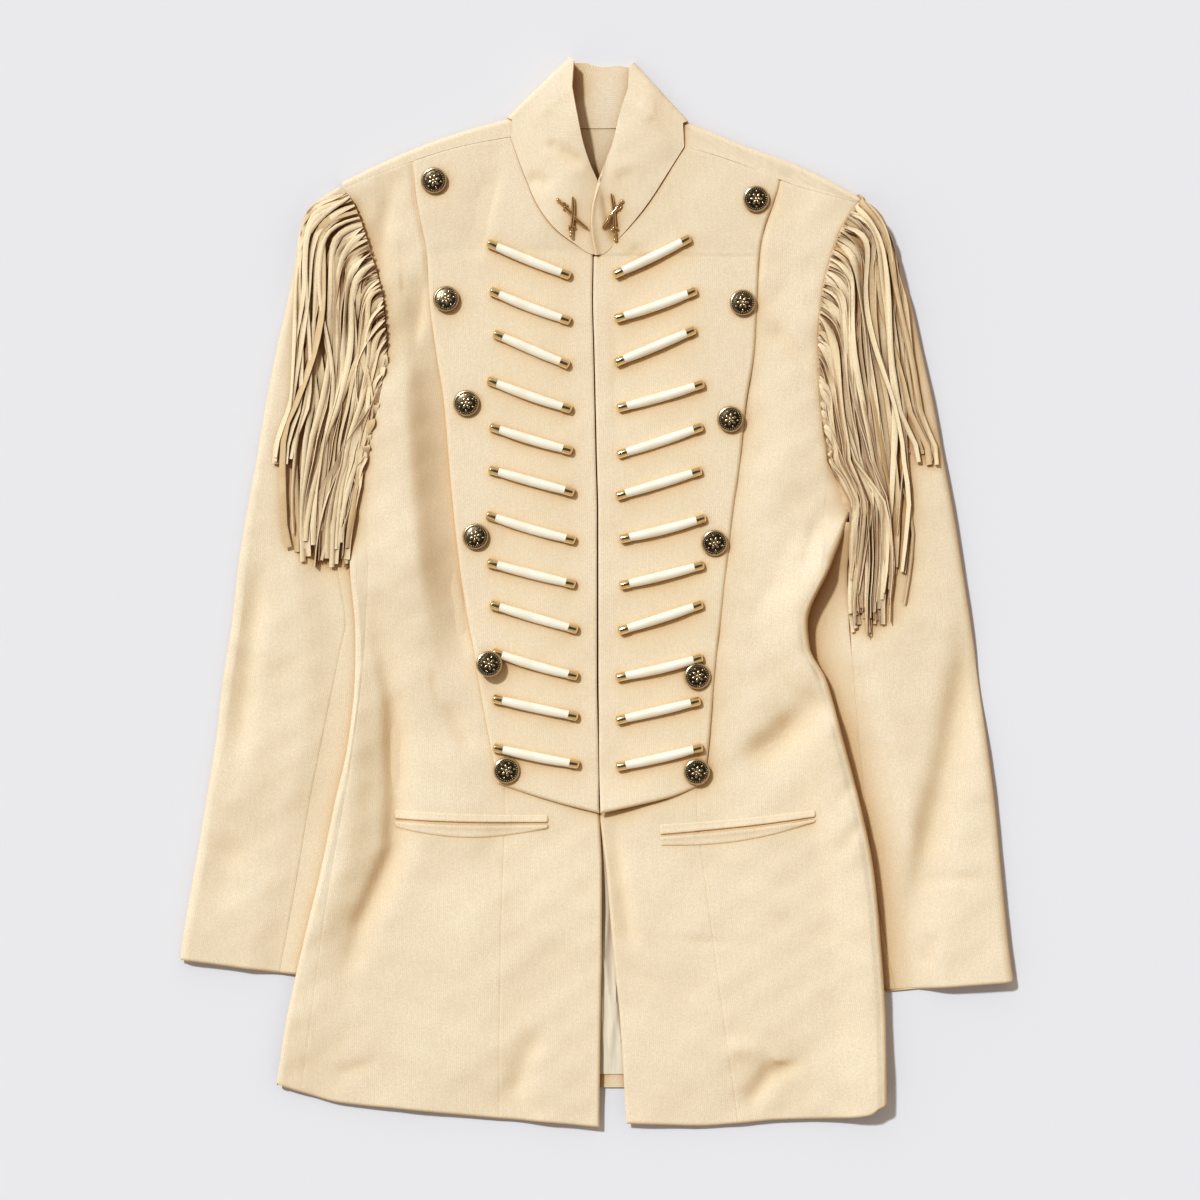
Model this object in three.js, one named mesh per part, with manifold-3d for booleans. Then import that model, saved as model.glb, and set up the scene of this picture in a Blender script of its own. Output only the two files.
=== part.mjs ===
// A long napoleon jacket laid flat on its back, fronts up. Millimetres: +Y towards the collar, +Z up,
// the surface that it lies on at z = 0. Sides are the wearer's, so the right side lies at -X.
import * as THREE from 'three';
import { mergeVertices } from 'three/addons/utils/BufferGeometryUtils.js';
import Module from 'manifold-3d';

const wasm = await Module();
wasm.setup();

// Driving sizes of the cloth: wall thickness, space at a seam, space under what lies on a panel.
const wall = 2;
const seam = 0.4;
const lift = 0.3;

// Heights of the upper faces: fronts, body edge over the sleeve, sleeve, its inner edge, collar, bib.
const top = { front: 7, ridge: 11.5, sleeve: 7, sleeveInner: 5.4, collar: 8, bib: 9.3 };
const edgeRise = 6.2;

// Heights y of the back's hem, of the lowest tucked edge, of the tucked edge's upper end and of the
// armhole's foot; the length over which the body's edge rises; how far the side panel turns in below.
const hemBack = -405;
const tuckedLow = -396;
const tuckedHigh = 20;
const armholeFoot = 107;
const riseLength = 44;
const turnIn = 34;

// Distances from an edge between which the ridge, the sleeve's sunk side and the panel's turn fade.
const ridgeFade = [16, 36];
const sunkFade = [16, 28];
const turnFade = [18, 31];

// Lines across each half at each height y: front edge or neckline, princess seam, free edge of the
// bib, side seam or armhole, body edge, outer and inner edge of the sleeve, its front seam.
const none = undefined;
const names = ['y', 'front', 'princess', 'bib', 'side', 'edge', 'outer', 'inner', 'sleeveSeam'];
const levelRows = (rows) => rows.map((row) => Object.fromEntries(names.map((name, k) => [name, row[k]])));
const rightLevels = levelRows([
  [345, -60, -122.5, -150],
  [318, -48.5, -122, -147, -198, none, -231],
  [298, -34, -121, -143, -190, none, -239],
  [277, -3.5, -119.5, -139, -183.5, none, -245],
  [240, -4, -116, -137, -174, none, -253],
  [200, -3, -110.5, -132, -171, none, -262],
  [155, -2, -104.5, -125, -178, none, -271],
  [107, -1, -99, -121, -188, none, -279],
  [64, 0, -94.5, -117, -187.5, -203, -287, -206.5, -214],
  [20, 0, -90, -112, -187, -202, -294, -204.5, -212],
  [-25, 0, -85.5, -105, -189, -198, -299, -188, -206],
  [-45, 0, -83.5, -101, -190, -197.5, -302, -186, -210],
  [-70, 0, -81.5, -97, -192, -198, -306, -186, -215],
  [-120, 1, -77.5, -88, -198, -203, -312, -190, -225],
  [-175, 2, -75, none, -207, -215, -320.5, -201, -236],
  [-230, 4, -77, none, -217, -226.5, -330, -213, -245],
  [-290, 4, -78.5, none, -226, -241, -340, -230, -256],
  [-350, 3, -79.5, none, -234, -254],
]);
const leftLevels = levelRows([
  [345, 58.5, 117, 148],
  [318, 41, 118, 144, 212, none, 223],
  [298, 25, 118.5, 137, 199, none, 238],
  [277, 4, 119, 133, 191, none, 243],
  [240, -1, 118, 131, 182.5, none, 256],
  [200, -1, 115, 129, 180, none, 265],
  [155, 0, 110.5, 122, 182, none, 275],
  [107, 0, 105, 117, 189.5, none, 284],
  [64, 1, 100.5, 111, 185.7, 208, 292, 211.5, 219],
  [20, 1, 96, 106, 182, 190, 299, 193, 205],
  [-25, 1, 92, 101, 164, 172, 306, 167, 206],
  [-45, 1, 90, 98.5, 166, 174, 309, 167, 207.5],
  [-70, 1, 88, 96, 179, 187, 312, 176, 210],
  [-120, 1, 84, 92, 193, 201, 319, 190, 214.5],
  [-175, 2, 82, none, 207, 215.5, 326, 202, 220],
  [-230, 8, 88, none, 218, 226.5, 331, 213, 226],
  [-290, 13, 96, none, 224, 232, 337, 226, 237],
  [-350, 19, 104, none, 228, 236],
]);

// Corners of each half, [x, y]: shoulder seam from the neck to the arm, the shoulder's fold beside
// it, hem from the front edge to the body edge, lower edge of the bib, cuff from the outer edge in.
const right = {
  name: 'right',
  out: -1,
  levels: rightLevels,
  armpit: 64,
  shoulder: [[-70, 373], [-98, 368], [-123, 362], [-162, 349], [-207, 331]],
  bibShoulder: [-151, 353],
  fold: [[-71, 389], [-101, 380.5], [-126, 372.5], [-164, 357.5], [-209, 336]],
  hem: [[2, -437], [-80, -430], [-242, -408], [-262, -402]],
  bibHem: [[2, -180], [-30, -172], [-63, -162], [-81, -156]],
  cuff: [[-341, -300], [-260, -311], [-239, -313.5]],
  sleeveTop: [-213, 331.5],
};
const left = {
  name: 'left',
  out: 1,
  levels: leftLevels,
  armpit: 64,
  shoulder: [[71, 365], [93, 359], [117, 351], [166, 332], [213, 319]],
  bibShoulder: [150, 338.5],
  fold: [[72, 386], [95, 377], [119, 367], [167, 349], [216, 324]],
  hem: [[24, -434], [116, -434], [229, -421], [237, -418]],
  bibHem: [[3, -180], [35, -173], [62, -166.5], [88, -156]],
  cuff: [[341, -318], [245, -326], [236, -326.5]],
  sleeveTop: [219, 319.5],
};
const neckBack = [[-35, 381.5], [0, 380], [35, 381]];

// Largest folds of the fronts and sleeves: line from (x, y) to (toX, toY), spread and height.
const folds = [
  { x: -162, y: 158, toX: -160, toY: -6, spread: 17, height: 0.8 },
  { x: -143, y: 100, toX: -125, toY: -20, spread: 9, height: -1.6 },
  { x: 152, y: -110, toX: 118, toY: -128, spread: 10, height: -1.2 },
  { x: 138, y: 220, toX: 176, toY: 181, spread: 7, height: -1 },
  { x: -275, y: 27, toX: -296, toY: -153, spread: 9, height: -1.5 },
  { x: 293, y: -80, toX: 253, toY: -268, spread: 9, height: -1.5 },
];

// Collar: free top edge of each front, top edge at the back, and the outer folds from neck to top.
const collar = {
  rightTop: [[0, 333], [-5, 347], [-11, 366], [-16, 390], [-20, 412]],
  rightFold: [-22, 437],
  backTop: [[-9, 434.5], [4, 431], [18, 432]],
  leftFold: [30, 433],
  leftTop: [[25.5, 412], [19, 392], [13, 367], [8, 355], [5, 345]],
  frontBow: 5,
  footShare: 1 - seam / 60,
  footFrom: [0, 360],
  headFrom: [20, 400],
};

const finish = (color, roughness, metalness) => () => (
  new THREE.MeshStandardMaterial({ color, roughness, metalness }));
const wool = finish(0xe9d6b4, 0.9, 0);
const satin = finish(0xe6d3ad, 0.4, 0);
const suede = finish(0xb5976a, 0.95, 0);
const bone = finish(0xf3ead2, 0.45, 0);
const metal = finish(0x8f866f, 0.4, 0.9);
const steel = finish(0xb9b4a6, 0.3, 0.9);

const jacket = new THREE.Group();

function add(name, geometry, material, place = [0, 0, 0], turn = [0, 0, 0]) {
  const mesh = new THREE.Mesh(geometry, material);
  mesh.name = name;
  mesh.position.set(...place);
  mesh.rotation.set(...turn);
  jacket.add(mesh);
  return mesh;
}

const mix = (a, b, t) => a + (b - a) * t;
const between = ([ax, ay], [bx, by], t) => [mix(ax, bx, t), mix(ay, by, t)];
const smooth = (from, to, value) => THREE.MathUtils.smoothstep(value, from, to);

// Value of a named line of a half at height y, straight between its levels.
function lineAt(half, line, y) {
  const rows = half.levels.filter((row) => row[line] !== undefined);
  const below = Math.max(1, rows.findIndex((row) => row.y <= y));
  const last = rows.length - 1;
  const k = y < rows[last].y ? last : below;
  const t = (rows[k - 1].y - y) / (rows[k - 1].y - rows[k].y);
  return mix(rows[k - 1][line], rows[k][line], Math.min(Math.max(t, 0), 1.2));
}

// Point on a chain of points at x.
function chainAt(points, x) {
  const sorted = [...points].sort((a, b) => a[0] - b[0]);
  const found = sorted.findIndex((point) => point[0] >= x);
  const k = found < 0 ? sorted.length - 1 : Math.max(1, found);
  const [a, b] = [sorted[k - 1], sorted[k]];
  return mix(a[1], b[1], (x - a[0]) / (b[0] - a[0]));
}

// How far the body's edge has risen over the sleeve at height y: 0 at the armpit, then 1.
const rise = (half, y) => Math.min(Math.max((half.armpit - y) / riseLength, 0), 1);

function foldHeight(x, y) {
  return folds.reduce((sum, fold) => {
    const along = new THREE.Vector2(fold.toX - fold.x, fold.toY - fold.y);
    const from = new THREE.Vector2(x - fold.x, y - fold.y);
    const t = Math.min(Math.max(from.dot(along) / along.lengthSq(), 0), 1);
    const away = from.sub(along.multiplyScalar(t)).length() / fold.spread;
    return sum + fold.height * Math.exp(-away * away);
  }, 0);
}

function frontHeight(half, x, y) {
  const inward = half.out * (lineAt(half, 'edge', y) - x);
  const ridge = y < half.armpit ? rise(half, y) * (1 - smooth(...ridgeFade, inward)) : 0;
  return top.front + (top.ridge - top.front) * ridge + foldHeight(x, y);
}

function sleeveHeight(half, x, y) {
  const inward = half.out * (x - lineAt(half, 'inner', y));
  const under = y < half.armpit ? rise(half, y) * (1 - smooth(...sunkFade, inward)) : 0;
  return top.sleeve - (top.sleeve - top.sleeveInner) * under + foldHeight(x, y);
}

// Closed body between two grids of points. A cell is built where its four corners are there.
function closedGrid(upper, lower) {
  const rows = upper.length;
  const columns = upper[0].length;
  const positions = [];
  const index = (layer, r, c) => layer * rows * columns + r * columns + c;
  for (const layer of [upper, lower]) {
    layer.forEach((row) => row.forEach((p) => positions.push(...(p ? [p.x, p.y, p.z] : [0, 0, 0]))));
  }
  const there = (r, c) => upper[r]?.[c] && upper[r + 1]?.[c] && upper[r][c + 1] && upper[r + 1][c + 1];
  const faces = [];
  const quad = (a, b, c, d) => faces.push(a, b, c, a, c, d);
  for (let r = 0; r < rows - 1; r++) {
    for (let c = 0; c < columns - 1; c++) {
      if (!there(r, c)) continue;
      const corners = [[r, c], [r, c + 1], [r + 1, c + 1], [r + 1, c]];
      const up = corners.map(([i, j]) => index(0, i, j));
      const down = corners.map(([i, j]) => index(1, i, j));
      quad(...up);
      quad(...[...down].reverse());
      const outside = [there(r - 1, c), there(r, c + 1), there(r + 1, c), there(r, c - 1)];
      outside.forEach((neighbour, k) => {
        const n = (k + 1) % 4;
        if (!neighbour) quad(up[n], up[k], down[k], down[n]);
      });
    }
  }
  return outward(positions, faces);
}

// Geometry from points and faces, turned so that its faces point out, without unused points.
function outward(positions, faces) {
  const at = (i) => new THREE.Vector3(...positions.slice(3 * i, 3 * i + 3));
  let volume = 0;
  for (let i = 0; i < faces.length; i += 3) {
    volume += at(faces[i]).dot(at(faces[i + 1]).cross(at(faces[i + 2])));
  }
  const turned = volume < 0 ? [...faces].reverse() : faces;
  const used = [...new Set(turned)];
  const place = new Map(used.map((old, i) => [old, i]));
  const geometry = new THREE.BufferGeometry();
  const points = used.flatMap((i) => positions.slice(3 * i, 3 * i + 3));
  geometry.setAttribute('position', new THREE.Float32BufferAttribute(points, 3));
  geometry.setIndex(turned.map((i) => place.get(i)));
  return geometry;
}

// Cloth that lies level: its upper face through the points, its lower face straight below.
function levelCloth(points, thickness = wall) {
  const below = points.map((row) => row.map((p) => p && p.clone().setZ(p.z - thickness)));
  return closedGrid(points, below);
}

// Cloth that bends: half its thickness on each side of the points, along their normals.
function bentCloth(points, thickness = wall) {
  const normalAt = (r, c) => {
    const pick = (i, j) => points[i]?.[j] || null;
    const down = (pick(r + 1, c) || points[r][c]).clone().sub(pick(r - 1, c) || points[r][c]);
    const across = (pick(r, c + 1) || points[r][c]).clone().sub(pick(r, c - 1) || points[r][c]);
    return across.cross(down).normalize();
  };
  const moved = (side) => points.map((row, r) => row.map((p, c) => (
    p && p.clone().addScaledVector(normalAt(r, c), side * thickness / 2))));
  return closedGrid(moved(1), moved(-1));
}

const point = ([x, y], z) => new THREE.Vector3(x, y, z);

// Half circle seen from the side, from its upper end round to its lower end.
const foldSteps = [90, 45, 0, -45, -90].map((degrees) => THREE.MathUtils.degToRad(degrees));

// Points round a fold whose outermost line is at end, coming from the direction of from.
function foldPoints(from, end, highest, lowest) {
  const towards = new THREE.Vector2(end[0] - from[0], end[1] - from[1]).normalize();
  const radius = (highest - lowest) / 2;
  const centre = radius + wall / 2;
  return foldSteps.map((angle) => {
    const reach = radius * Math.cos(angle) - centre;
    const place = [end[0] + towards.x * reach, end[1] + towards.y * reach];
    return point(place, lowest + radius + radius * Math.sin(angle));
  });
}

function frontPanels(half) {
  const inset = (half.out * seam) / 2;
  const centreRows = half.levels.map((row) => [row.front + inset, row.princess - inset, row.y]);
  const neck = half.shoulder.slice(0, 3).map(([x, y]) => [x, y - seam]);
  const centre = [
    [neck[0], between(neck[0], neck[1], 0.5), neck[1], between(neck[1], neck[2], 0.5), neck[2]],
    ...centreRows.map(([a, b, y]) => [0, 0.25, 0.5, 0.75, 1].map((t) => [mix(a, b, t), y])),
    [0, 0.25, 0.5, 0.75, 1].map((t) => between(half.hem[0], half.hem[1], t)),
  ];
  centre.forEach((row) => {
    row[0] = [row[0][0] + inset, row[0][1]];
    row[4] = [row[4][0] - inset / 2, row[4][1]];
  });
  const raised = ([x, y]) => point([x, y], frontHeight(half, x, y));
  const heights = (rows) => rows.map((row) => row.map(raised));
  add(`${half.name}_front_centre`, levelCloth(heights(centre)), wool());

  // Across each row: two points share the flat part, then three lines run beside the side seam.
  const across = (inner, outer) => {
    const beside = [30, 18, 8].map((away) => outer - half.out * away);
    return [inner, mix(inner, beside[0], 0.35), mix(inner, beside[0], 0.7), ...beside, outer];
  };
  const arm = half.shoulder.slice(2).map(([x, y]) => [x + inset, y - seam]);
  const hem = half.hem.slice(1, 3);
  const sideRows = half.levels.filter((row) => row.side !== undefined && row.y < arm[2][1] - 5);
  const side = [
    across(arm[0][0], arm[2][0] - 2 * inset).map((x) => [x, chainAt(arm, x)]),
    ...sideRows.map((row) => across(row.princess + inset, row.side - inset).map((x) => [x, row.y])),
    across(hem[0][0] + inset, hem[1][0] - inset).map((x) => [x, chainAt(hem, x)]),
  ];
  add(`${half.name}_front_side`, levelCloth(heights(side)), wool());
}

// Side panel: from the side seam out over the body's edge, round it, and in below to the back.
function sidePanel(half) {
  const inset = (half.out * seam) / 2;
  const lowerSteps = [10, 18, 24, 31, turnIn];
  const section = (seamPoint, edgePoint, backPoint, y) => {
    const up = rise(half, y);
    const upper = mix(top.front, top.ridge, up) - wall / 2;
    const lowerEdge = wall / 2 + edgeRise * up;
    const round = foldPoints(seamPoint, edgePoint, upper, lowerEdge);
    const start = point(seamPoint, upper);
    const width = Math.hypot(edgePoint[0] - backPoint[0], edgePoint[1] - backPoint[1]);
    const lower = lowerSteps.map((d) => {
      const z = wall / 2 + edgeRise * up * (1 - smooth(...turnFade, d));
      return point(between(edgePoint, backPoint, (d / turnIn) * (1 - seam / width)), z);
    });
    return [start, start.clone().lerp(round[0], 0.5), ...round, ...lower];
  };
  const sectionAt = ([x, y], edgePoint) => (
    section([x + inset, y], edgePoint, [edgePoint[0] - half.out * turnIn, Math.max(y, hemBack)], y));
  const rows = half.levels.filter((row) => row.edge !== undefined && row.y < half.armpit);
  const belowArmpit = 0.8;
  const armhole = [lineAt(half, 'side', armholeFoot), armholeFoot - belowArmpit];
  const armpitEdge = [lineAt(half, 'edge', half.armpit), half.armpit - belowArmpit];
  const hemEdge = half.hem[3];
  const hemSeam = [half.hem[2][0] + inset, half.hem[2][1]];
  const grid = [
    section([armhole[0] + inset, armhole[1]], armpitEdge, armhole, half.armpit),
    ...rows.map((row) => sectionAt([row.side, row.y], [row.edge, row.y])),
    section(hemSeam, hemEdge, [hemEdge[0] - half.out * turnIn, hemBack], hemBack),
  ];
  add(`${half.name}_side_panel`, bentCloth(grid), wool());
}

// Back, in one: flat from the hem to the shoulders, then round them and forward to their seams.
function back() {
  const shoulders = [...[...right.shoulder].reverse(), ...neckBack, ...left.shoulder];
  const folded = [...[...right.fold].reverse(), ...neckBack, ...left.fold];
  const first = shoulders[0][0];
  const span = shoulders[shoulders.length - 1][0] - first;
  const sideAt = (half, y) => {
    const tucked = lineAt(half, 'edge', Math.min(Math.max(y, tuckedLow), tuckedHigh)) - half.out * turnIn;
    const armhole = lineAt(half, 'side', Math.max(y, armholeFoot));
    const share = Math.min(Math.max((y - tuckedHigh) / (armholeFoot - tuckedHigh), 0), 1);
    return mix(tucked, armhole, share) - half.out * seam;
  };
  const heights = right.levels.slice(1).map((row) => row.y).reverse();
  const flat = [hemBack, ...heights].map((y) => shoulders.map(([x]) => {
    const t = (x - first) / span;
    return point([mix(sideAt(right, y), sideAt(left, y), t), y], wall / 2);
  }));
  const low = wall / 2;
  const high = top.front - wall / 2;
  const isNeck = (k) => k > 4 && k < 8;
  const ends = shoulders.map((place, k) => {
    if (isNeck(k)) return [point(place, low)];
    const seamPoint = point([place[0], place[1] + seam / 2], high);
    return [...foldPoints(place, folded[k], high, low).reverse(), seamPoint];
  });
  const wraps = [0, 1, 2, 3, 4, 5].map((step) => ends.map((column) => column[step] || null));
  add('back', bentCloth([...flat, ...wraps]), wool());
}

// Sleeve: the upper sleeve goes from the armhole and front seam out round the outer edge; the under
// sleeve lies below it, and from the armpit down it turns up round the inner edge to that seam.
const sleeveBack = { seamIn: 15, mostShare: 0.72, reach: 3.5, reachShare: 0.6 };

function sleeve(half) {
  const low = wall / 2;
  const rows = half.levels.filter((row) => row.outer !== undefined);
  const placed = [
    { outer: half.sleeveTop, seam: half.shoulder[4], y: half.sleeveTop[1] },
    ...rows.map((row) => ({
      outer: [row.outer, row.y],
      seam: [row.sleeveSeam ?? row.side, row.y],
      inner: row.inner === undefined ? undefined : [row.inner, row.y],
      y: row.y,
    })),
    { outer: half.cuff[0], seam: half.cuff[1], inner: half.cuff[2], y: half.cuff[0][1] },
  ];
  const gap = half.out * seam;
  const backIn = (width) => Math.min(sleeveBack.seamIn, width * sleeveBack.mostShare);
  const upper = placed.map((row) => {
    const start = [row.seam[0] + gap, row.seam[1]];
    const width = Math.abs(row.outer[0] - start[0]);
    const topZ = ([x, y]) => sleeveHeight(half, x, y) - wall / 2;
    const reach = Math.min(sleeveBack.reach, width * sleeveBack.reachShare);
    const flatEnd = [row.outer[0] - half.out * reach, row.outer[1]];
    const steps = [0, 0.33, 0.67].map((t) => between(start, flatEnd, t)).map((p) => point(p, topZ(p)));
    const round = foldPoints(start, row.outer, top.sleeve - wall / 2, low);
    const backEnd = [row.outer[0] - half.out * backIn(width), row.outer[1]];
    return [...steps, ...round, point(backEnd, low)];
  });
  add(`${half.name}_upper_sleeve`, bentCloth(upper), wool());

  const under = placed.map((row) => {
    const width = Math.abs(row.outer[0] - row.seam[0]);
    const start = [row.outer[0] - half.out * (backIn(width) + seam), row.outer[1]];
    const turns = row.inner !== undefined && row.y <= half.armpit;
    if (!turns) {
      const end = [row.seam[0] + gap, row.seam[1]];
      const flat = [0, 0.5, 1].map((t) => point(between(start, end, t), low));
      return [...flat, null, null, null, null, null];
    }
    const turned = sleeveHeight(half, row.inner[0], row.inner[1]) - wall / 2;
    const round = foldPoints(start, row.inner, turned, low).reverse();
    const end = row.seam;
    const highest = sleeveHeight(half, end[0], end[1]) - wall / 2;
    return [point(start, low), point(start, low).lerp(round[0], 0.5), ...round, point(end, highest)];
  });
  add(`${half.name}_under_sleeve`, bentCloth(under), wool());
}

// Collar: one band from the right front end round both outer folds to the left front end.
function standCollar() {
  const low = wall / 2;
  const high = top.collar - wall / 2;
  const neckOf = (half) => half.levels.slice(0, 4).map((row) => [row.front, row.y]).reverse();
  const inset = ([x, y]) => [x * collar.footShare, y + seam * 1.6];
  const rightNeck = [...neckOf(right), right.shoulder[0]].map(inset);
  const leftNeck = [left.shoulder[0], ...neckOf(left).reverse()].map(inset);
  const cornerFoot = (half) => [half.fold[0][0] - half.out * 0.6, half.fold[0][1] + 1];
  const backNeck = neckBack.map(([x, y]) => [x, y + seam * 1.5]);
  const column = (foot, head, z) => ({ foot: point(foot, z), head: point(head, z) });
  const layer = (feet, heads, z) => feet.map((foot, k) => column(foot, heads[k], z));
  const corner = (half, head) => {
    const feet = foldPoints(collar.footFrom, cornerFoot(half), high, low);
    const heads = foldPoints([-half.out * collar.headFrom[0], collar.headFrom[1]], head, high, low);
    return feet.map((place, k) => ({ foot: place, head: heads[k] }));
  };
  const rightCorner = corner(right, collar.rightFold);
  const leftCorner = corner(left, collar.leftFold);
  const columns = [
    ...layer(rightNeck, collar.rightTop, high),
    ...rightCorner,
    ...layer(backNeck, collar.backTop, low),
    ...leftCorner.reverse(),
    ...layer(leftNeck, collar.leftTop, high),
  ];
  const steps = [0, 0.33, 0.67, 1];
  const bow = (k, t) => {
    const fromEnd = Math.min(k, columns.length - 1 - k);
    return fromEnd > 1 ? 0 : -collar.frontBow * Math.sin(Math.PI * t) * (1 - fromEnd / 2);
  };
  const grid = columns.map(({ foot, head }, k) => steps.map((t) => {
    const place = foot.clone().lerp(head, t);
    place.x += bow(k, t);
    return place;
  }));
  add('collar', bentCloth(grid), wool());
}

// Bib half: on the front from its shoulder down to the waist.
function bib(half) {
  const inset = half.out * seam;
  const rows = half.levels.filter((row) => row.bib !== undefined);
  const steps = [0, 0.25, 0.5, 0.75, 1];
  const foot = [...half.bibHem];
  const hem = [foot[0], foot[1], between(foot[1], foot[2], 0.6), foot[2], foot[3]];
  hem[0] = [hem[0][0] + inset, hem[0][1]];
  const across = [...half.shoulder.slice(0, 3).map(([x, y]) => [x, y - seam]), half.bibShoulder];
  const head = [across[0], across[1], between(across[1], across[2], 0.5), across[2], across[3]];
  head[0] = [head[0][0] + inset, head[0][1]];
  const grid = [
    head,
    ...rows.map((row) => steps.map((t) => [mix(row.front + inset, row.bib, t), row.y])),
    hem,
  ];
  add(`${half.name}_bib`, levelCloth(grid.map((row) => row.map((p) => point(p, top.bib)))), wool());
}

// Pocket welts: start and end of the slit, widths of the two welts and how far they sag.
const pockets = [
  { half: right, from: [-166, -186], to: [-41, -189], upper: 9, lower: 10, sag: 3 },
  { half: left, from: [52, -198], to: [176, -183.5], upper: 9, lower: 8.5, sag: 3 },
];
const weltWall = 1.2;

function pocketWelts({ half, from, to, upper, lower, sag }) {
  const steps = [0, 0.2, 0.4, 0.6, 0.8, 1];
  const slit = (t, away) => {
    const [x, y] = between(from, to, t);
    return [x, y - sag * Math.sin(Math.PI * t) + away];
  };
  const height = top.front + lift + weltWall;
  const row = (away) => steps.map((t) => point(slit(t, away), height));
  const welt = (a, b) => levelCloth([row(a), row(b)], weltWall);
  add(`${half.name}_pocket_upper_welt`, welt(seam, upper), wool());
  add(`${half.name}_pocket_lower_welt`, welt(-seam, -lower), wool());
}

// Satin lining of the back, where the front slit shows it.
function lining() {
  const thickness = 1;
  const xs = [-45, 12, 70];
  const ys = [-195, -260, -330, -394];
  const grid = ys.map((y) => xs.map((x) => point([x, y], wall + lift + thickness)));
  add('lining', levelCloth(grid, thickness), satin());
}

// Shank buttons, [x, y] down each bib edge, and the one that stands higher over a pipe's end.
const button = { radius: 10.6, rim: 1.2, dome: 3.2, shank: 2, shankRadius: 2.4, sides: 10 };
const buttonPlaces = {
  right: [[-133, 337], [-123, 240], [-106.5, 155], [-99, 46], [-88, -58], [-74, -145]],
  left: [[130, 322], [119, 237], [109, 142], [96, 41], [82, -68], [81.5, -146]],
};
const tallShank = 8.2;

function buttonGeometry(shank) {
  const { radius, rim, dome, shankRadius, sides } = button;
  const profile = [
    [0, 0], [shankRadius, 0], [shankRadius, shank], [radius * 0.92, shank], [radius, shank + rim * 0.6],
    [radius * 0.94, shank + rim * 1.6], [radius * 0.8, shank + rim], [radius * 0.5, shank + dome],
    [0, shank + dome * 1.2],
  ].map(([x, y]) => new THREE.Vector2(x, y));
  return new THREE.LatheGeometry(profile, sides);
}

// Pipes with a cap on each end: outer and inner end, [x, y], down each half.
const pipe = { middle: 4.1, end: 3.3, cap: 4, capLength: 8, sides: 6 };
const pipePlaces = {
  right: [
    [[-89, 286], [-22, 259]], [[-87, 247], [-22, 222]], [[-84, 212], [-23, 186]], [[-89, 174], [-21, 150]],
    [[-87, 136], [-20.5, 116]], [[-88, 101], [-19, 82]], [[-90, 64], [-18, 43]], [[-89, 25], [-18, 7]],
    [[-87, -9], [-16, -30]], [[-85, -48], [-16, -68]], [[-85, -86], [-16, -101]],
    [[-84.5, -126], [-15, -140]],
  ],
  left: [
    [[76, 290], [14, 260]], [[81, 247], [15, 224]], [[80, 215], [15, 188]], [[87, 171], [17, 151]],
    [[86, 136], [17, 113]], [[85, 100], [16, 79]], [[88.5, 61.5], [19, 44]], [[87, 23], [19, 6]],
    [[86, -9], [18, -31]], [[86, -52.5], [16, -69]], [[84, -88], [16, -104]], [[86, -126], [16, -142]],
  ],
};

function pipeGeometry(length) {
  const half = length / 2;
  const tube = half - pipe.capLength;
  const profile = [
    [0, -half], [pipe.cap, -half], [pipe.cap, -tube], [pipe.end, -tube], [pipe.middle, -tube * 0.4],
    [pipe.middle, tube * 0.4], [pipe.end, tube], [pipe.cap, tube], [pipe.cap, half], [0, half],
  ].map(([x, y]) => new THREE.Vector2(x, y));
  return new THREE.LatheGeometry(profile, pipe.sides);
}

function trim(half) {
  const resting = top.bib + lift;
  buttonPlaces[half.name].forEach(([x, y], k) => {
    const overPipe = half === right && k === 4;
    const geometry = buttonGeometry(overPipe ? tallShank : button.shank).rotateX(Math.PI / 2);
    add(`${half.name}_button_${k + 1}`, geometry, metal(), [x, y, resting]);
  });
  pipePlaces[half.name].forEach(([outer, inner], k) => {
    const length = Math.hypot(outer[0] - inner[0], outer[1] - inner[1]);
    const middle = between(outer, inner, 0.5);
    const turn = Math.atan2(outer[1] - inner[1], outer[0] - inner[0]) - Math.PI / 2;
    const place = [...middle, resting + pipe.middle];
    add(`${half.name}_pipe_${k + 1}`, pipeGeometry(length), bone(), place, [0, 0, turn]);
  });
}

// Manifold-3d body of a three.js geometry, and back again.
function solidOf(geometry) {
  const bare = geometry.clone();
  bare.deleteAttribute('normal');
  bare.deleteAttribute('uv');
  const merged = mergeVertices(bare);
  const vertProperties = merged.attributes.position.array;
  const triVerts = Uint32Array.from(merged.index.array);
  return new wasm.Manifold(new wasm.Mesh({ numProp: 3, vertProperties, triVerts }));
}

function geometryOf(solid) {
  const { vertProperties, triVerts } = solid.getMesh();
  const geometry = new THREE.BufferGeometry();
  geometry.setAttribute('position', new THREE.BufferAttribute(vertProperties, 3));
  geometry.setIndex(new THREE.BufferAttribute(triVerts, 1));
  return geometry;
}

// Two crossed sabres on each side of the collar: hilt and tip of each, [x, y].
const sabre = {
  width: 1.7, thickness: 1.4, guard: 2.6, guardShare: 0.36, height: { right: 10.45, left: 11.1 },
};
const sabrePlaces = {
  right: [[[-32.5, 321], [-6.5, 295.5]], [[-21, 290], [-19, 324.5]]],
  left: [[[21, 320.5], [3.5, 296.5]], [[15, 287.5], [12, 328]]],
};

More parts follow.
